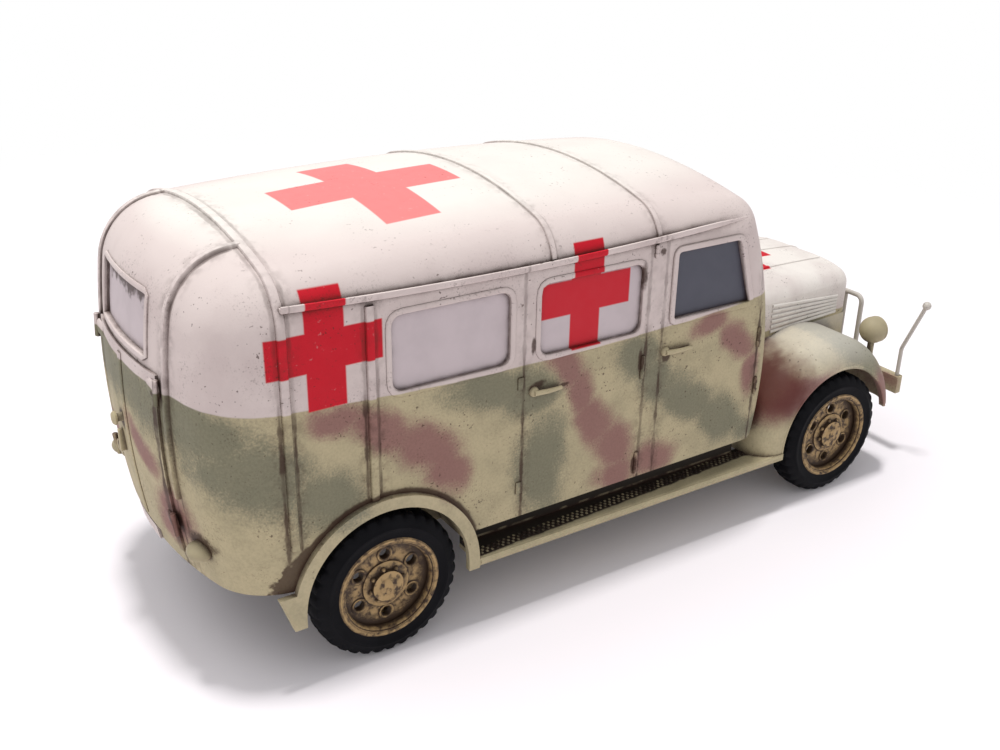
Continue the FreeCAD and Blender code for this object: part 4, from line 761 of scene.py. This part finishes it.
def hoop_path(probe, x, lowest):
    """The body's outline at one place along it, from the right-hand wall over the roof to the left."""
    centre_z = 20
    reach = math.atan2(WALL_Y, lowest - centre_z)
    rays = [Vector((0, math.sin(angle), math.cos(angle))) for angle in spread(-reach, reach, 72)]
    return probe.follow([(at(x, 0, centre_z) + ray * OUTSIDE, -ray) for ray in rays], AHEAD)


# ---------------------------------------------------------------- operators
class AMB_OT_finishes(Operator):
    """Mix the paints and put them on the model's own parts"""

    bl_idname = "ambulance.finishes"
    bl_label = "Paint the model"

    def execute(self, context):
        colours = context.scene.ambulance_colours
        crosses = ((side_crosses, colours.red), (roof_cross, colours.roof_red_highlight))
        body_paint("body_paint", colours, waist, (31.4, 32.8), crosses=crosses)
        crosses = ((bonnet_cross, colours.red),)
        body_paint("bonnet_white", colours, bonnet_foot, (15, 18), False, crosses, 0.25)
        pane_paint("pale_pane", colours, colours.pale_pane, 0.5, 0.75)
        pane_paint("dark_pane", colours, colours.dark_pane, 0.34, 0.5)
        board_paint("board_paint", colours)
        fender_paint("fender_paint", colours)
        plain_paint("sand_paint", colours.sand, colours)
        plain_paint("lamp_sand", darker(colours.sand, 0.76), colours)
        plain_paint("trim_white", colours.white, colours, 0.7)
        plain_paint("louvre_white", colours.lighter_white_and_highlight, colours, 0.25)
        plain_paint("pale_metal", colours.pale_metal, colours, 0.5, 0.5)
        plain_paint("chassis_earth", colours.earth, colours, 0.9)
        rubber("tyre_rubber", colours)
        rim_paint("rim_sand", colours)
        for paint, nodes in WEARERS.items():
            for node in nodes:
                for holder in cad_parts[node].material_slots:
                    holder.material = bpy.data.materials[paint]
        return {"FINISHED"}


class AMB_OT_strips(Operator):
    """Raised strips, roof seams and drip rails of the body"""

    bl_idname = "ambulance.strips"
    bl_label = "Strips and rails"

    HOOP_FOOT_Z = 11.6
    SEAM_FOOT_Z = 29.2
    STRIP_HEIGHTS = (13.7, 20, 28.5)
    BEAD_X, BEAD_Z = -7.2, 19.0
    BEAD_SWEEP = math.radians(127)

    def execute(self, context):
        sizes = context.scene.ambulance_sizes
        probe = Probe(SHELL)
        strip = rib_section(sizes.strip_half, sizes.strip_rise)
        seam = rib_section(sizes.seam_half, sizes.seam_rise)
        mesh = bmesh.new()
        strip_mesh(mesh, hoop_path(probe, REAR_HOOP_X, self.HOOP_FOOT_Z), strip)
        make("rear_hoop", mesh, "body_paint")
        mesh = bmesh.new()
        for x in ROOF_SEAMS_X:
            strip_mesh(mesh, hoop_path(probe, x, self.SEAM_FOOT_Z), seam)
        make("roof_seams", mesh, "body_paint")
        mesh = bmesh.new()
        for side in SIDES:
            path = [(at(SIDE_STRIP_X, side * WALL_Y, z), AHEAD, LEVEL * side) for z in self.STRIP_HEIGHTS]
            strip_mesh(mesh, path, strip)
        make("side_strips", mesh, "body_paint")
        self.rails(sizes)
        self.tail_beads(probe, sizes)
        return {"FINISHED"}

    @staticmethod
    def rails(sizes):
        """Drip rails that sag a little between their ends and taper to the front."""
        reach, height, root, count = sizes.rail_reach, sizes.rail_height, -0.12, 24
        section = (
            (root, 0.0),
            (reach * 0.75, -0.04),
            (reach, 0.12),
            (reach, height),
            (reach * 0.7, height + 0.03),
            (reach * 0.5, height * 0.55),
            (root, height * 0.6),
        )
        rear_x, front_x, _, _ = span_of("roof_gutters")
        mesh = bmesh.new()
        for side in SIDES:
            path = []
            for i, x in enumerate(spread(rear_x, front_x - 0.6, count)):
                z = RAIL_Z + RAIL_BEND * (x - RAIL_X) ** 2
                taper = min(1.0, 0.25 + (count - i) / 3)
                path.append((at(x, side * WALL_Y, z), LEVEL * (side * taper), UP * taper))
            strip_mesh(mesh, path, section)
        rail = make("drip_rails", mesh, "body_paint")
        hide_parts("roof_gutters")

    def tail_beads(self, probe, sizes):
        """Beads that run up the tail and over to the rear hoop, seen from a point inside the body."""
        bead_y = half_width("tail_panel") - 0.02
        bead = rib_section(sizes.seam_half * 1.3, sizes.seam_rise * 1.7)
        rays = [Vector((math.sin(angle), 0, math.cos(angle))) for angle in spread(-self.BEAD_SWEEP, 0, 48)]
        mesh = bmesh.new()
        for side in SIDES:
            centre = at(self.BEAD_X, side * bead_y, self.BEAD_Z)
            path = probe.follow([(centre + ray * OUTSIDE, -ray) for ray in rays], LEVEL)
            strip_mesh(mesh, path, bead)
        make("tail_beads", mesh, "body_paint")


def window_corners(node, edge, lean=0.0):
    """Corners of a frame round a pane. The lean brings the front upper corner back."""
    rear, front, foot, top = span_of(node)
    rear, front, foot, top = rear - edge, front + edge, foot - edge, top + edge
    return [Vector(corner) for corner in ((rear, foot), (front, foot), (front - lean, top), (rear, top))]


def window_frame(mesh, corners, side, half, rise, radius):
    """A raised frame round a window of the side wall, its corners rounded."""
    outline = []
    for i, corner in enumerate(corners):
        before, after = corners[i - 1], corners[(i + 1) % len(corners)]
        start = corner + (before - corner).normalized() * radius
        end = corner + (after - corner).normalized() * radius
        for share in spread(0, 1, 4):
            outline.append(start.lerp(corner, share).lerp(corner.lerp(end, share), share))
    middle = sum(corners, Vector((0, 0))) / len(corners)
    path = []
    for i, place in enumerate(outline):
        run = (outline[(i + 1) % len(outline)] - outline[i - 1]).normalized()
        across = Vector((run.y, 0, -run.x))
        if across.dot(Vector((place.x - middle.x, 0, place.y - middle.y))) < 0:
            across = -across
        path.append((at(place.x, side * WALL_Y, place.y), across, LEVEL * side))
    strip_mesh(mesh, path, rib_section(half, rise), closed=True)


class AMB_OT_windows(Operator):
    """Frames round the side windows"""

    bl_idname = "ambulance.windows"
    bl_label = "Window frames"

    # Pane, how much wider and higher than usual its frame is, lean, radius of the corners.
    FRAMES = (
        ("side_window_glass", 1, 0.7, 0.0, 1.1),
        ("side_door_glass", 1, 0.7, 0.0, 1.1),
        ("cab_door_glass", 1.2, 1.2, 1.8, 0.6),
    )

    def execute(self, context):
        sizes = context.scene.ambulance_sizes
        mesh = bmesh.new()
        for node, wider, higher, lean, radius in self.FRAMES:
            half = sizes.frame_half * wider
            corners = window_corners(node, half, lean)
            for side in SIDES:
                window_frame(mesh, corners, side, half, sizes.frame_rise * higher, radius)
        make("window_frames", mesh, "body_paint")
        return {"FINISHED"}


class AMB_OT_doors(Operator):
    """Door hinges and handles"""

    bl_idname = "ambulance.doors"
    bl_label = "Door fittings"

    # Barrels: place along, height, half length. Leaves: place along, height. Handles: the same and length.
    BARRELS = ((23.15, 18.6, 1.0), (23.15, 9.9, 1.0), (23.8, 28.2, 0.5), (36.0, 18.5, 0.9), (36.2, 13.9, 0.8))
    LEAVES = ((11.45, 19.9), (11.45, 11.0))
    HANDLES = ((12.4, 18.95, 2.5), (25.2, 19.45, 2.8))

    def execute(self, context):
        mesh = bmesh.new()
        for side in SIDES:
            for x, z, half in self.BARRELS:
                lathe(mesh, (x, side * (WALL_Y + 0.04), z - half), UP, self.barrel(2 * half), 14)
            for x, z in self.LEAVES:
                block(mesh, (x, side * WALL_Y, z), (0.28, 0.12, 0.5), 0.06)
        make("door_hinges", mesh, "body_paint")
        mesh = bmesh.new()
        for side in SIDES:
            for x, z, length in self.HANDLES:
                self.handle(mesh, side, x, z, length)
        handles = make("lever_handles", mesh, "sand_paint")
        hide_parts("door_handles")
        return {"FINISHED"}

    @staticmethod
    def barrel(length):
        """A knuckled hinge barrel."""
        knuckles = ((0.31, 0.22), (0.34, 0.17), (0.64, 0.17), (0.67, 0.22))
        middle = [(length * share, radius) for share, radius in knuckles]
        return [(0, 0), (0, 0.16), *middle, (length, 0.16), (length, 0)]

    @staticmethod
    def handle(mesh, side, x, z, length):
        """A boss on the door and a lever that tapers to a rounded tip."""
        dome(mesh, (x + 0.25, side * (WALL_Y - 0.03), z), LEVEL * side, 0.42, 0.42, 18)
        path = []
        for share in spread(0, 1, 12):
            narrow = 1 - 0.2917 * share
            swing = 0.3 + 0.12 * math.sin(math.pi * share)
            place = at(x + 0.1 + length * share, side * (WALL_Y + swing), z - 0.06 * share)
            path.append((place, UP * narrow, LEVEL * (side * narrow)))
        strip_mesh(mesh, path, round_section(0.22))


class AMB_OT_tail(Operator):
    """Hinges, split, knob, window frame and lamp hoods of the tail"""

    bl_idname = "ambulance.tail"
    bl_label = "Tail fittings"

    SPLIT_Y = -0.35
    SPLIT_FOOT_Z, SPLIT_TOP_Z = 10.0, 23.2
    HINGE_Y = 6.3
    HINGE_HEIGHTS = (22.6, 12.3)
    KNOB_Y = 0.85
    LATCH_Y = 1.55
    KNOB_NECK = ((0.1, 0), (0.1, 0.42), (-0.2, 0.3), (-0.38, 0.32))
    KNOB_HEAD = ((-0.45, 0.52), (-0.6, 0.55), (-0.75, 0.4), (-0.8, 0))

    def execute(self, context):
        sizes = context.scene.ambulance_sizes
        probe = Probe(TAIL)

        def surface(y, z):
            return probe.hit(at(-40, y, z), AHEAD)

        mesh = bmesh.new()
        path = []
        for z in spread(self.SPLIT_FOOT_Z, self.SPLIT_TOP_Z, 32):
            place, normal = surface(self.SPLIT_Y, z)
            path.append((place, LEVEL, normal))
        strip_mesh(mesh, path, rib_section(0.35, 0.12))
        self.window(mesh, surface, sizes.frame_half, sizes.frame_rise)
        make("tail_mouldings", mesh, "body_paint")
        mesh = bmesh.new()
        for side in SIDES:
            for z in self.HINGE_HEIGHTS:
                self.flap(mesh, *surface(side * self.HINGE_Y, z), side)
        make("tail_hinges", mesh, "body_paint")
        self.knob(surface)
        self.lamps()
        return {"FINISHED"}

    @staticmethod
    def window(mesh, surface, half, rise):
        """A frame that follows the curved tail round its window."""
        _, _, foot, top = span_of("tail_window_glass")
        reach = half_width("tail_window_glass") + half
        corners = ((-reach, foot), (reach, foot), (reach, top), (-reach, top))
        path = []
        for i, (y, z) in enumerate(corners):
            next_y, next_z = corners[(i + 1) % 4]
            run = Vector((0, next_y - y, next_z - z)).normalized()
            for step in range(10):
                share = (step + 0.5) / 10
                height = z + (next_z - z) * share
                outward = math.copysign(half, height - (foot + top) / 2) * 0.99
                place, normal = surface(y + (next_y - y) * share, height + outward)
                path.append((place, normal.cross(run).normalized(), normal))
        strip_mesh(mesh, path, rib_section(half, rise), closed=True)

    @staticmethod
    def flap(mesh, place, normal, side):
        """A rounded hinge leaf and its barrel."""
        up = normal.cross(LEVEL).normalized()
        if up.z < 0:
            up = -up
        widths = ((-1.0, 0.35), (-0.9, 0.62), (-0.4, 0.85), (0.4, 0.85), (0.9, 0.62), (1.0, 0.35))
        leaf = [(place + LEVEL * (y * MM), up * width, normal) for y, width in widths]
        strip_mesh(mesh, leaf, rib_section(0.75, 0.2))
        pin = place + LEVEL * (side * 0.85 * MM) + normal * (0.12 * MM)
        widths = ((-0.95, 0.7), (-0.9, 1), (0.9, 1), (0.95, 0.7))
        barrel = [(pin + up * (z * MM), LEVEL * width, normal * width) for z, width in widths]
        strip_mesh(mesh, barrel, round_section(0.22, 12))

    def knob(self, surface):
        """The tail door's knob, and the latch below it."""
        low, high = box_corners("tail_door_handle")
        knob_z, latch_z = high.z / MM - 0.5, low.z / MM + 0.9
        mesh = bmesh.new()
        x = from_axle(surface(self.KNOB_Y, knob_z)[0].x)
        lathe(mesh, (x, self.KNOB_Y, knob_z), AHEAD, self.KNOB_NECK + self.KNOB_HEAD, 20)
        x = from_axle(surface(self.LATCH_Y, latch_z)[0].x)
        block(mesh, (x - 0.12, self.LATCH_Y, latch_z), (0.3, 0.2, 0.9), 0.12)
        knob = make("tail_knob", mesh, "sand_paint")
        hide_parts("tail_door_handle")

    @staticmethod
    def lamps():
        """Oval hoods of the tail lamps."""
        low, high = box_corners("tail_lamps")
        half = Vector((0.95 * MM, 1.15 * MM, (high.z - low.z) / 2))
        mesh = bmesh.new()
        for side in SIDES:
            middle = Vector((low.x + half.x, side * (high.y - half.y), (low.z + high.z) / 2))
            verts = bmesh.ops.create_uvsphere(mesh, u_segments=24, v_segments=14, radius=1)["verts"]
            shape = Matrix.Translation(middle) @ Matrix.Diagonal((*half, 1))
            bmesh.ops.transform(mesh, matrix=shape, verts=verts)
        lamps = make("oval_tail_lamps", mesh, "lamp_sand")
        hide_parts("tail_lamps")


class AMB_OT_bonnet(Operator):
    """Hinge line, mouldings and louvres of the bonnet"""

    bl_idname = "ambulance.bonnet"
    bl_label = "Bonnet details"

    # Mouldings: place across at the rear end, front end.
    MOULDINGS = ((0.12, 55.2), (4.3, 54.0), (-4.3, 54.0))
    REAR_X = 38.9
    LOUVRES = 6
    LOUVRE_REAR_X, LOUVRE_FRONT_X = 43.6, 53.2
    LOUVRE_FOOT_Z, LOUVRE_TOP_Z = 15.35, 17.9
    LOUVRE = ((-0.15, -0.1), (-0.15, 0.08), (-0.09, 0.12), (0.09, 0.12), (0.15, 0.08), (0.15, -0.1))

    def execute(self, context):
        probe = Probe((*BONNET, "radiator_shell"))
        mesh = bmesh.new()
        for y, front_x in self.MOULDINGS:
            starts = [at(x, y * (1 - 0.012 * (x - 39)), 40) for x in spread(self.REAR_X, front_x, 24)]
            path = probe.follow([(start, -UP) for start in starts], LEVEL)
            strip_mesh(mesh, path, rib_section(0.2, 0.1))
        make("bonnet_mouldings", mesh, "bonnet_white")
        mesh = bmesh.new()
        for side in SIDES:
            for share in spread(0, 1, self.LOUVRES - 1):
                path = []
                for x in spread(self.LOUVRE_REAR_X, self.LOUVRE_FRONT_X, 12):
                    height = self.LOUVRE_TOP_Z - self.LOUVRE_FOOT_Z - 0.1 * (x - self.LOUVRE_REAR_X)
                    start = at(x, side * 30, self.LOUVRE_FOOT_Z + height * share)
                    place, normal = probe.hit(start, LEVEL * -side)
                    path.append((place, UP, normal))
                strip_mesh(mesh, path, self.LOUVRE)
        make("bonnet_louvres", mesh, "louvre_white")
        return {"FINISHED"}


class AMB_OT_front(Operator):
    """Grille slats, lamp rims and bumper bolts"""

    bl_idname = "ambulance.front"
    bl_label = "Front fittings"

    SLATS = 17
    BOLTS_Y = (4.7, 5.5)
    RIM = ((-0.12, 1.2), (0.05, 1.28), (0.22, 1.24), (0.28, 1.12), (0.22, 1.03), (-0.02, 1.0), (-0.12, 1.2))

    def execute(self, context):
        _, _, foot, top = span_of("radiator_grille")
        middle_z, half_z = (foot + top) / 2, (top - foot) / 2 - 0.02
        reach = half_width("radiator_grille") - 0.35
        probe = Probe(("radiator_grille",))
        mesh = bmesh.new()
        for y in spread(-reach, reach, self.SLATS - 1):
            place, _ = probe.hit(at(80, y, middle_z), -AHEAD)
            block(mesh, (from_axle(place.x) + 0.06, y, middle_z), (0.12, 0.09, half_z), 0.05)
        make("grille_slats", mesh, "chassis_earth")
        mesh = bmesh.new()
        rear_x, _, foot, top = span_of("headlamp_lenses")
        lens_y = half_width("headlamp_lenses") - (top - foot) / 2
        for side in SIDES:
            lathe(mesh, (rear_x, side * lens_y, (foot + top) / 2), AHEAD, self.RIM, 32)
        make("lamp_rims", mesh, "lamp_sand")
        mesh = bmesh.new()
        _, front_x, foot, top = span_of("front_bumper")
        for side in SIDES:
            for y in self.BOLTS_Y:
                dome(mesh, (front_x - 0.03, side * y, (foot + top) / 2), AHEAD, 0.2, 0.16, 6)
        make("bumper_bolts", mesh, "fender_paint")
        return {"FINISHED"}


class AMB_OT_boards(Operator):
    """Tread on the running boards and rolled edges of the fenders"""

    bl_idname = "ambulance.boards"
    bl_label = "Boards and fenders"

    COLUMNS = 64
    ROWS = 3
    BUMP = (0.11, 0.12, 0.1)

    def execute(self, context):
        rear_x, front_x, _, _ = span_of("running_boards")
        rear_x, front_x = rear_x + 0.4, front_x - 0.4
        nosing_y = half_width("running_boards") - 0.27
        mesh = bmesh.new()
        for side in SIDES:
            for i in range(self.COLUMNS):
                x = rear_x + (front_x - rear_x) * (i + 0.5) / self.COLUMNS
                first_y = 13.9 - BOARD_SLOPE * x
                for row in range(self.ROWS):
                    stagger = 0.12 if row % 2 else -0.12
                    y = side * (first_y - 0.33 * row)
                    block(mesh, (x + stagger, y, BOARD_TOP_Z + 0.01), self.BUMP, 0.05)
            ends = (rear_x - 0.3, front_x + 0.3)
            nosing = [(at(x, side * nosing_y, BOARD_TOP_Z - 0.3), LEVEL, UP) for x in ends]
            strip_mesh(mesh, nosing, round_section(0.33, 14))
        make("board_tread", mesh, "board_paint")
        mesh = bmesh.new()
        edge_y = half_width("front_fenders") - 0.1
        for side in SIDES:
            path = []
            for angle in spread(math.radians(12), math.radians(184), 40):
                out = Vector((math.cos(angle), 0, math.sin(angle)))
                centre = at(WHEEL_BASE, side * edge_y, AXLE_Z)
                path.append((centre + out * (FENDER_EDGE_RADIUS * MM), LEVEL, out))
            strip_mesh(mesh, path, round_section(0.16))
        make("fender_edges", mesh, "fender_paint")
        return {"FINISHED"}


class AMB_OT_wheels(Operator):
    """Lugged tyres, rim flanges, hubs and nuts"""

    bl_idname = "ambulance.wheels"
    bl_label = "Wheels"

    # The outer half of a tyre's section: depth from its face, radius, share of the lugs' height.
    WALL = ((0.0, 4.08, 0), (0.0, 4.45, 0), (-0.06, 4.75, 0), (-0.12, 4.85, 0), (-0.12, 4.98, 0))
    SHOULDER = ((-0.05, 5.08, 0), (0.05, 5.3, 0), (0.16, 5.5, 0.3), (0.34, 5.66, 0.9))
    CROWN = ((0.6, 5.74, 1), (1.0, 5.77, 1), (1.3, 5.78, 1))
    LUG = (0, 0.15, 0.85, 1, 1, 0.85)
    FLANGE_LIP = ((-0.35, 4.1), (0.02, 4.16), (0.1, 4.05), (0.06, 3.9))
    FLANGE_FOOT = ((-0.08, 3.78), (-0.06, 3.62), (-0.3, 3.5), (-0.6, 3.55), (-0.35, 4.1))
    HUB_PLATE = ((0, 0), (0, 1.95), (0.14, 1.9), (0.2, 1.72), (0.2, 0))
    HUB_CAP = ((0.1, 0), (0.1, 0.85), (0.5, 0.8), (0.62, 0.62), (0.66, 0))
    HOLE_LIP = ((-0.05, 0.66), (0.08, 0.62), (0.1, 0.52), (0.04, 0.44), (-0.05, 0.44), (-0.05, 0.66))
    HOLES = 6
    HOLES_RADIUS, STUDS_RADIUS = 2.55, 1.35

    def execute(self, context):
        sizes = context.scene.ambulance_sizes
        for wheel in WHEELS:
            low, high = box_corners(f"tyre_{wheel}")
            side = LEFT if high.y > 0 else RIGHT
            x = from_axle((low.x + high.x) / 2)
            face = max(high.y, -low.y) / MM
            self.tyre(sizes, wheel, x, face, (high.y - low.y) / MM, side)
            self.rim(sizes, wheel, x, face, side)
        return {"FINISHED"}

    def tyre(self, sizes, wheel, x, face, width, side):
        """Both halves of the section, with the lugs of the inner half staggered."""
        outer = self.WALL + self.SHOULDER + self.CROWN
        inner = tuple((width - depth, radius, share) for depth, radius, share in reversed(outer))
        count = len(self.LUG)
        mesh = bmesh.new()
        rings = []
        for depth, radius, share in outer + inner:
            stagger = count // 2 if depth > width / 2 else 0
            ring = []
            for i, angle in enumerate(turns(sizes.lugs * count)):
                reach = radius + sizes.lug_rise * share * self.LUG[(i + stagger) % count]
                along, up = reach * math.cos(angle), reach * math.sin(angle)
                ring.append(mesh.verts.new(at(x + along, side * (face - depth), AXLE_Z + up)))
            rings.append(ring)
        for one, two in zip(rings, [*rings[1:], rings[0]]):
            join_rings(mesh, one, two)
        tyre = make(f"lugged_tyre_{wheel}", mesh, "tyre_rubber", f"wheel_{wheel}", 34)
        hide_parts(f"tyre_{wheel}")

    def rim(self, sizes, wheel, x, face, side):
        """Flange, hub, nuts and the lips of the holes."""
        out = LEVEL * side
        disc = side * (face - 0.76)

        def round_hub(angle, radius, rise):
            return x + radius * math.cos(angle), disc + side * rise, AXLE_Z + radius * math.sin(angle)

        mesh = bmesh.new()
        lathe(mesh, (x, side * face, AXLE_Z), out, self.FLANGE_LIP + self.FLANGE_FOOT, 64)
        lathe(mesh, (x, disc, AXLE_Z), out, self.HUB_PLATE, 40)
        lathe(mesh, (x, disc, AXLE_Z), out, self.HUB_CAP, 28)
        for angle in turns(sizes.studs, 0.25):
            dome(mesh, round_hub(angle, self.STUDS_RADIUS, 0.18), out, 0.24, 0.3, 6)
        for angle in turns(self.HOLES, 0.5):
            lathe(mesh, round_hub(angle, self.HOLES_RADIUS, 0.01), out, self.HOLE_LIP, 20)
        make(f"rim_details_{wheel}", mesh, "rim_sand", f"wheel_{wheel}")


class AMB_OT_stage(Operator):
    """Floor, light and camera"""

    bl_idname = "ambulance.stage"
    bl_label = "Stage"

    FLOOR_RADIUS = 1.5
    # The floor turns from lit paper to plain white between these distances, in millimetres.
    PAPER_REACH = (60, 170)
    PAPER_TONE = (0.9, 0.86, 0.88)
    SKY_TONE = (0.97, 0.98, 1.0)
    WHITE = (1, 1, 1)
    REAR_SHARE = 0.07

    def execute(self, context):
        view = context.scene.ambulance_view
        self.floor()
        self.world(context, view)
        self.lamps(context, view)
        self.camera(context, view)
        context.scene.view_settings.view_transform = "Standard"
        return {"FINISHED"}

    def floor(self):
        mesh = bmesh.new()
        bmesh.ops.create_circle(mesh, cap_ends=True, segments=64, radius=self.FLOOR_RADIUS)
        data = bpy.data.meshes.new("floor")
        mesh.to_mesh(data)
        mesh.free()
        paper = Paint("paper")
        level = paper.vector("MULTIPLY", paper.place, (1, 1, 0))
        distance = paper.vector("LENGTH", level, output="Value")
        lit = paper.node("ShaderNodeBsdfDiffuse", inputs={"Color": self.PAPER_TONE, "Roughness": 0.5})
        glow = paper.node("ShaderNodeEmission", inputs={"Color": self.WHITE, "Strength": 1.0})
        rays = [paper.node("ShaderNodeLightPath", output=name) for name in ("Is Camera Ray", "Is Glossy Ray")]
        seen = (rays[0] | rays[1]) * paper.fade(distance, *self.PAPER_REACH)
        mixed = paper.node("ShaderNodeMixShader", inputs=[seen, lit, glow])
        paper.node("ShaderNodeOutputMaterial", inputs={"Surface": mixed})
        data.materials.append(paper.material)
        item = bpy.data.objects.new("floor", data)
        bpy.context.scene.collection.objects.link(item)

    def world(self, context, view):
        world = bpy.data.worlds.new("studio")
        context.scene.world = world
        world.use_nodes = True
        sky = Nodes(world.node_tree)
        names = ("Is Camera Ray", "Is Transmission Ray")
        rays = [sky.node("ShaderNodeLightPath", output=name) for name in names]
        lights = [
            sky.node("ShaderNodeBackground", inputs=[tone, strength])
            for tone, strength in ((self.SKY_TONE, view.sky), (self.WHITE, 1.0))
        ]
        mixed = sky.node("ShaderNodeMixShader", inputs=[rays[0] | rays[1], *lights])
        sky.node("ShaderNodeOutputWorld", inputs={"Surface": mixed})

    def lamps(self, context, view):
        for name, place, target, width, watts in (
            ("lamp_above", (0, -4, 400), (12, 0, 10), 0.05, view.lamp),
            ("lamp_rear", (-70, 60, 160), (10, 0, 15), 0.12, view.lamp * self.REAR_SHARE),
        ):
            data = bpy.data.lights.new(name, "AREA")
            data.shape = "DISK"
            data.size = width
            data.energy = watts
            item = bpy.data.objects.new(name, data)
            item.location = at(*place)
            item.rotation_euler = (at(*target) - at(*place)).to_track_quat("-Z", "Y").to_euler()
            context.scene.collection.objects.link(item)

    @staticmethod
    def camera(context, view):
        yaw, pitch, roll = (math.radians(value) for value in (view.yaw, view.pitch, view.roll))
        level, drop = math.cos(pitch), -math.sin(pitch)
        ahead = Vector((math.cos(yaw) * level, math.sin(yaw) * level, drop))
        right = Vector((math.sin(yaw), -math.cos(yaw), 0))
        up = right.cross(ahead)
        tilted_right = right * math.cos(roll) + up * math.sin(roll)
        tilted_up = up * math.cos(roll) - right * math.sin(roll)
        turn = Matrix((tilted_right, tilted_up, -ahead)).transposed()
        data = bpy.data.cameras.new("camera")
        data.lens = view.lens
        data.sensor_width = 36
        data.clip_start = 0.002
        data.clip_end = 20
        item = bpy.data.objects.new("camera", data)
        item.matrix_world = Matrix.Translation(at(*view.camera_place)) @ turn.to_4x4()
        context.scene.collection.objects.link(item)
        context.scene.camera = item


class AMB_PT_panel(Panel):
    """Buttons that build the model's looks"""

    bl_label = "Ambulance model"
    bl_space_type = "VIEW_3D"
    bl_region_type = "UI"
    bl_category = "Ambulance"

    def draw(self, context):
        for operator in OPERATORS:
            self.layout.operator(operator.bl_idname)
        for name, _ in GROUPS:
            group = getattr(context.scene, name)
            box = self.layout.box()
            for setting in group.__annotations__:
                box.prop(group, setting)


OPERATORS = (
    AMB_OT_finishes,
    AMB_OT_strips,
    AMB_OT_windows,
    AMB_OT_doors,
    AMB_OT_tail,
    AMB_OT_bonnet,
    AMB_OT_front,
    AMB_OT_boards,
    AMB_OT_wheels,
    AMB_OT_stage,
)
GROUPS = (
    ("ambulance_colours", AMB_PG_colours),
    ("ambulance_sizes", AMB_PG_sizes),
    ("ambulance_view", AMB_PG_view),
)


def register():
    for name, group in GROUPS:
        bpy.utils.register_class(group)
        setattr(bpy.types.Scene, name, PointerProperty(type=group))
    for item in (*OPERATORS, AMB_PT_panel):
        bpy.utils.register_class(item)


def unregister():
    for item in (AMB_PT_panel, *reversed(OPERATORS)):
        bpy.utils.unregister_class(item)
    for name, group in reversed(GROUPS):
        delattr(bpy.types.Scene, name)
        bpy.utils.unregister_class(group)


def main():
    register()
    for operator in OPERATORS:
        _, name = operator.bl_idname.split(".")
        if getattr(bpy.ops.ambulance, name)() != {"FINISHED"}:
            raise RuntimeError(f"{operator.bl_label} did not finish")


if __name__ == "__main__":
    main()
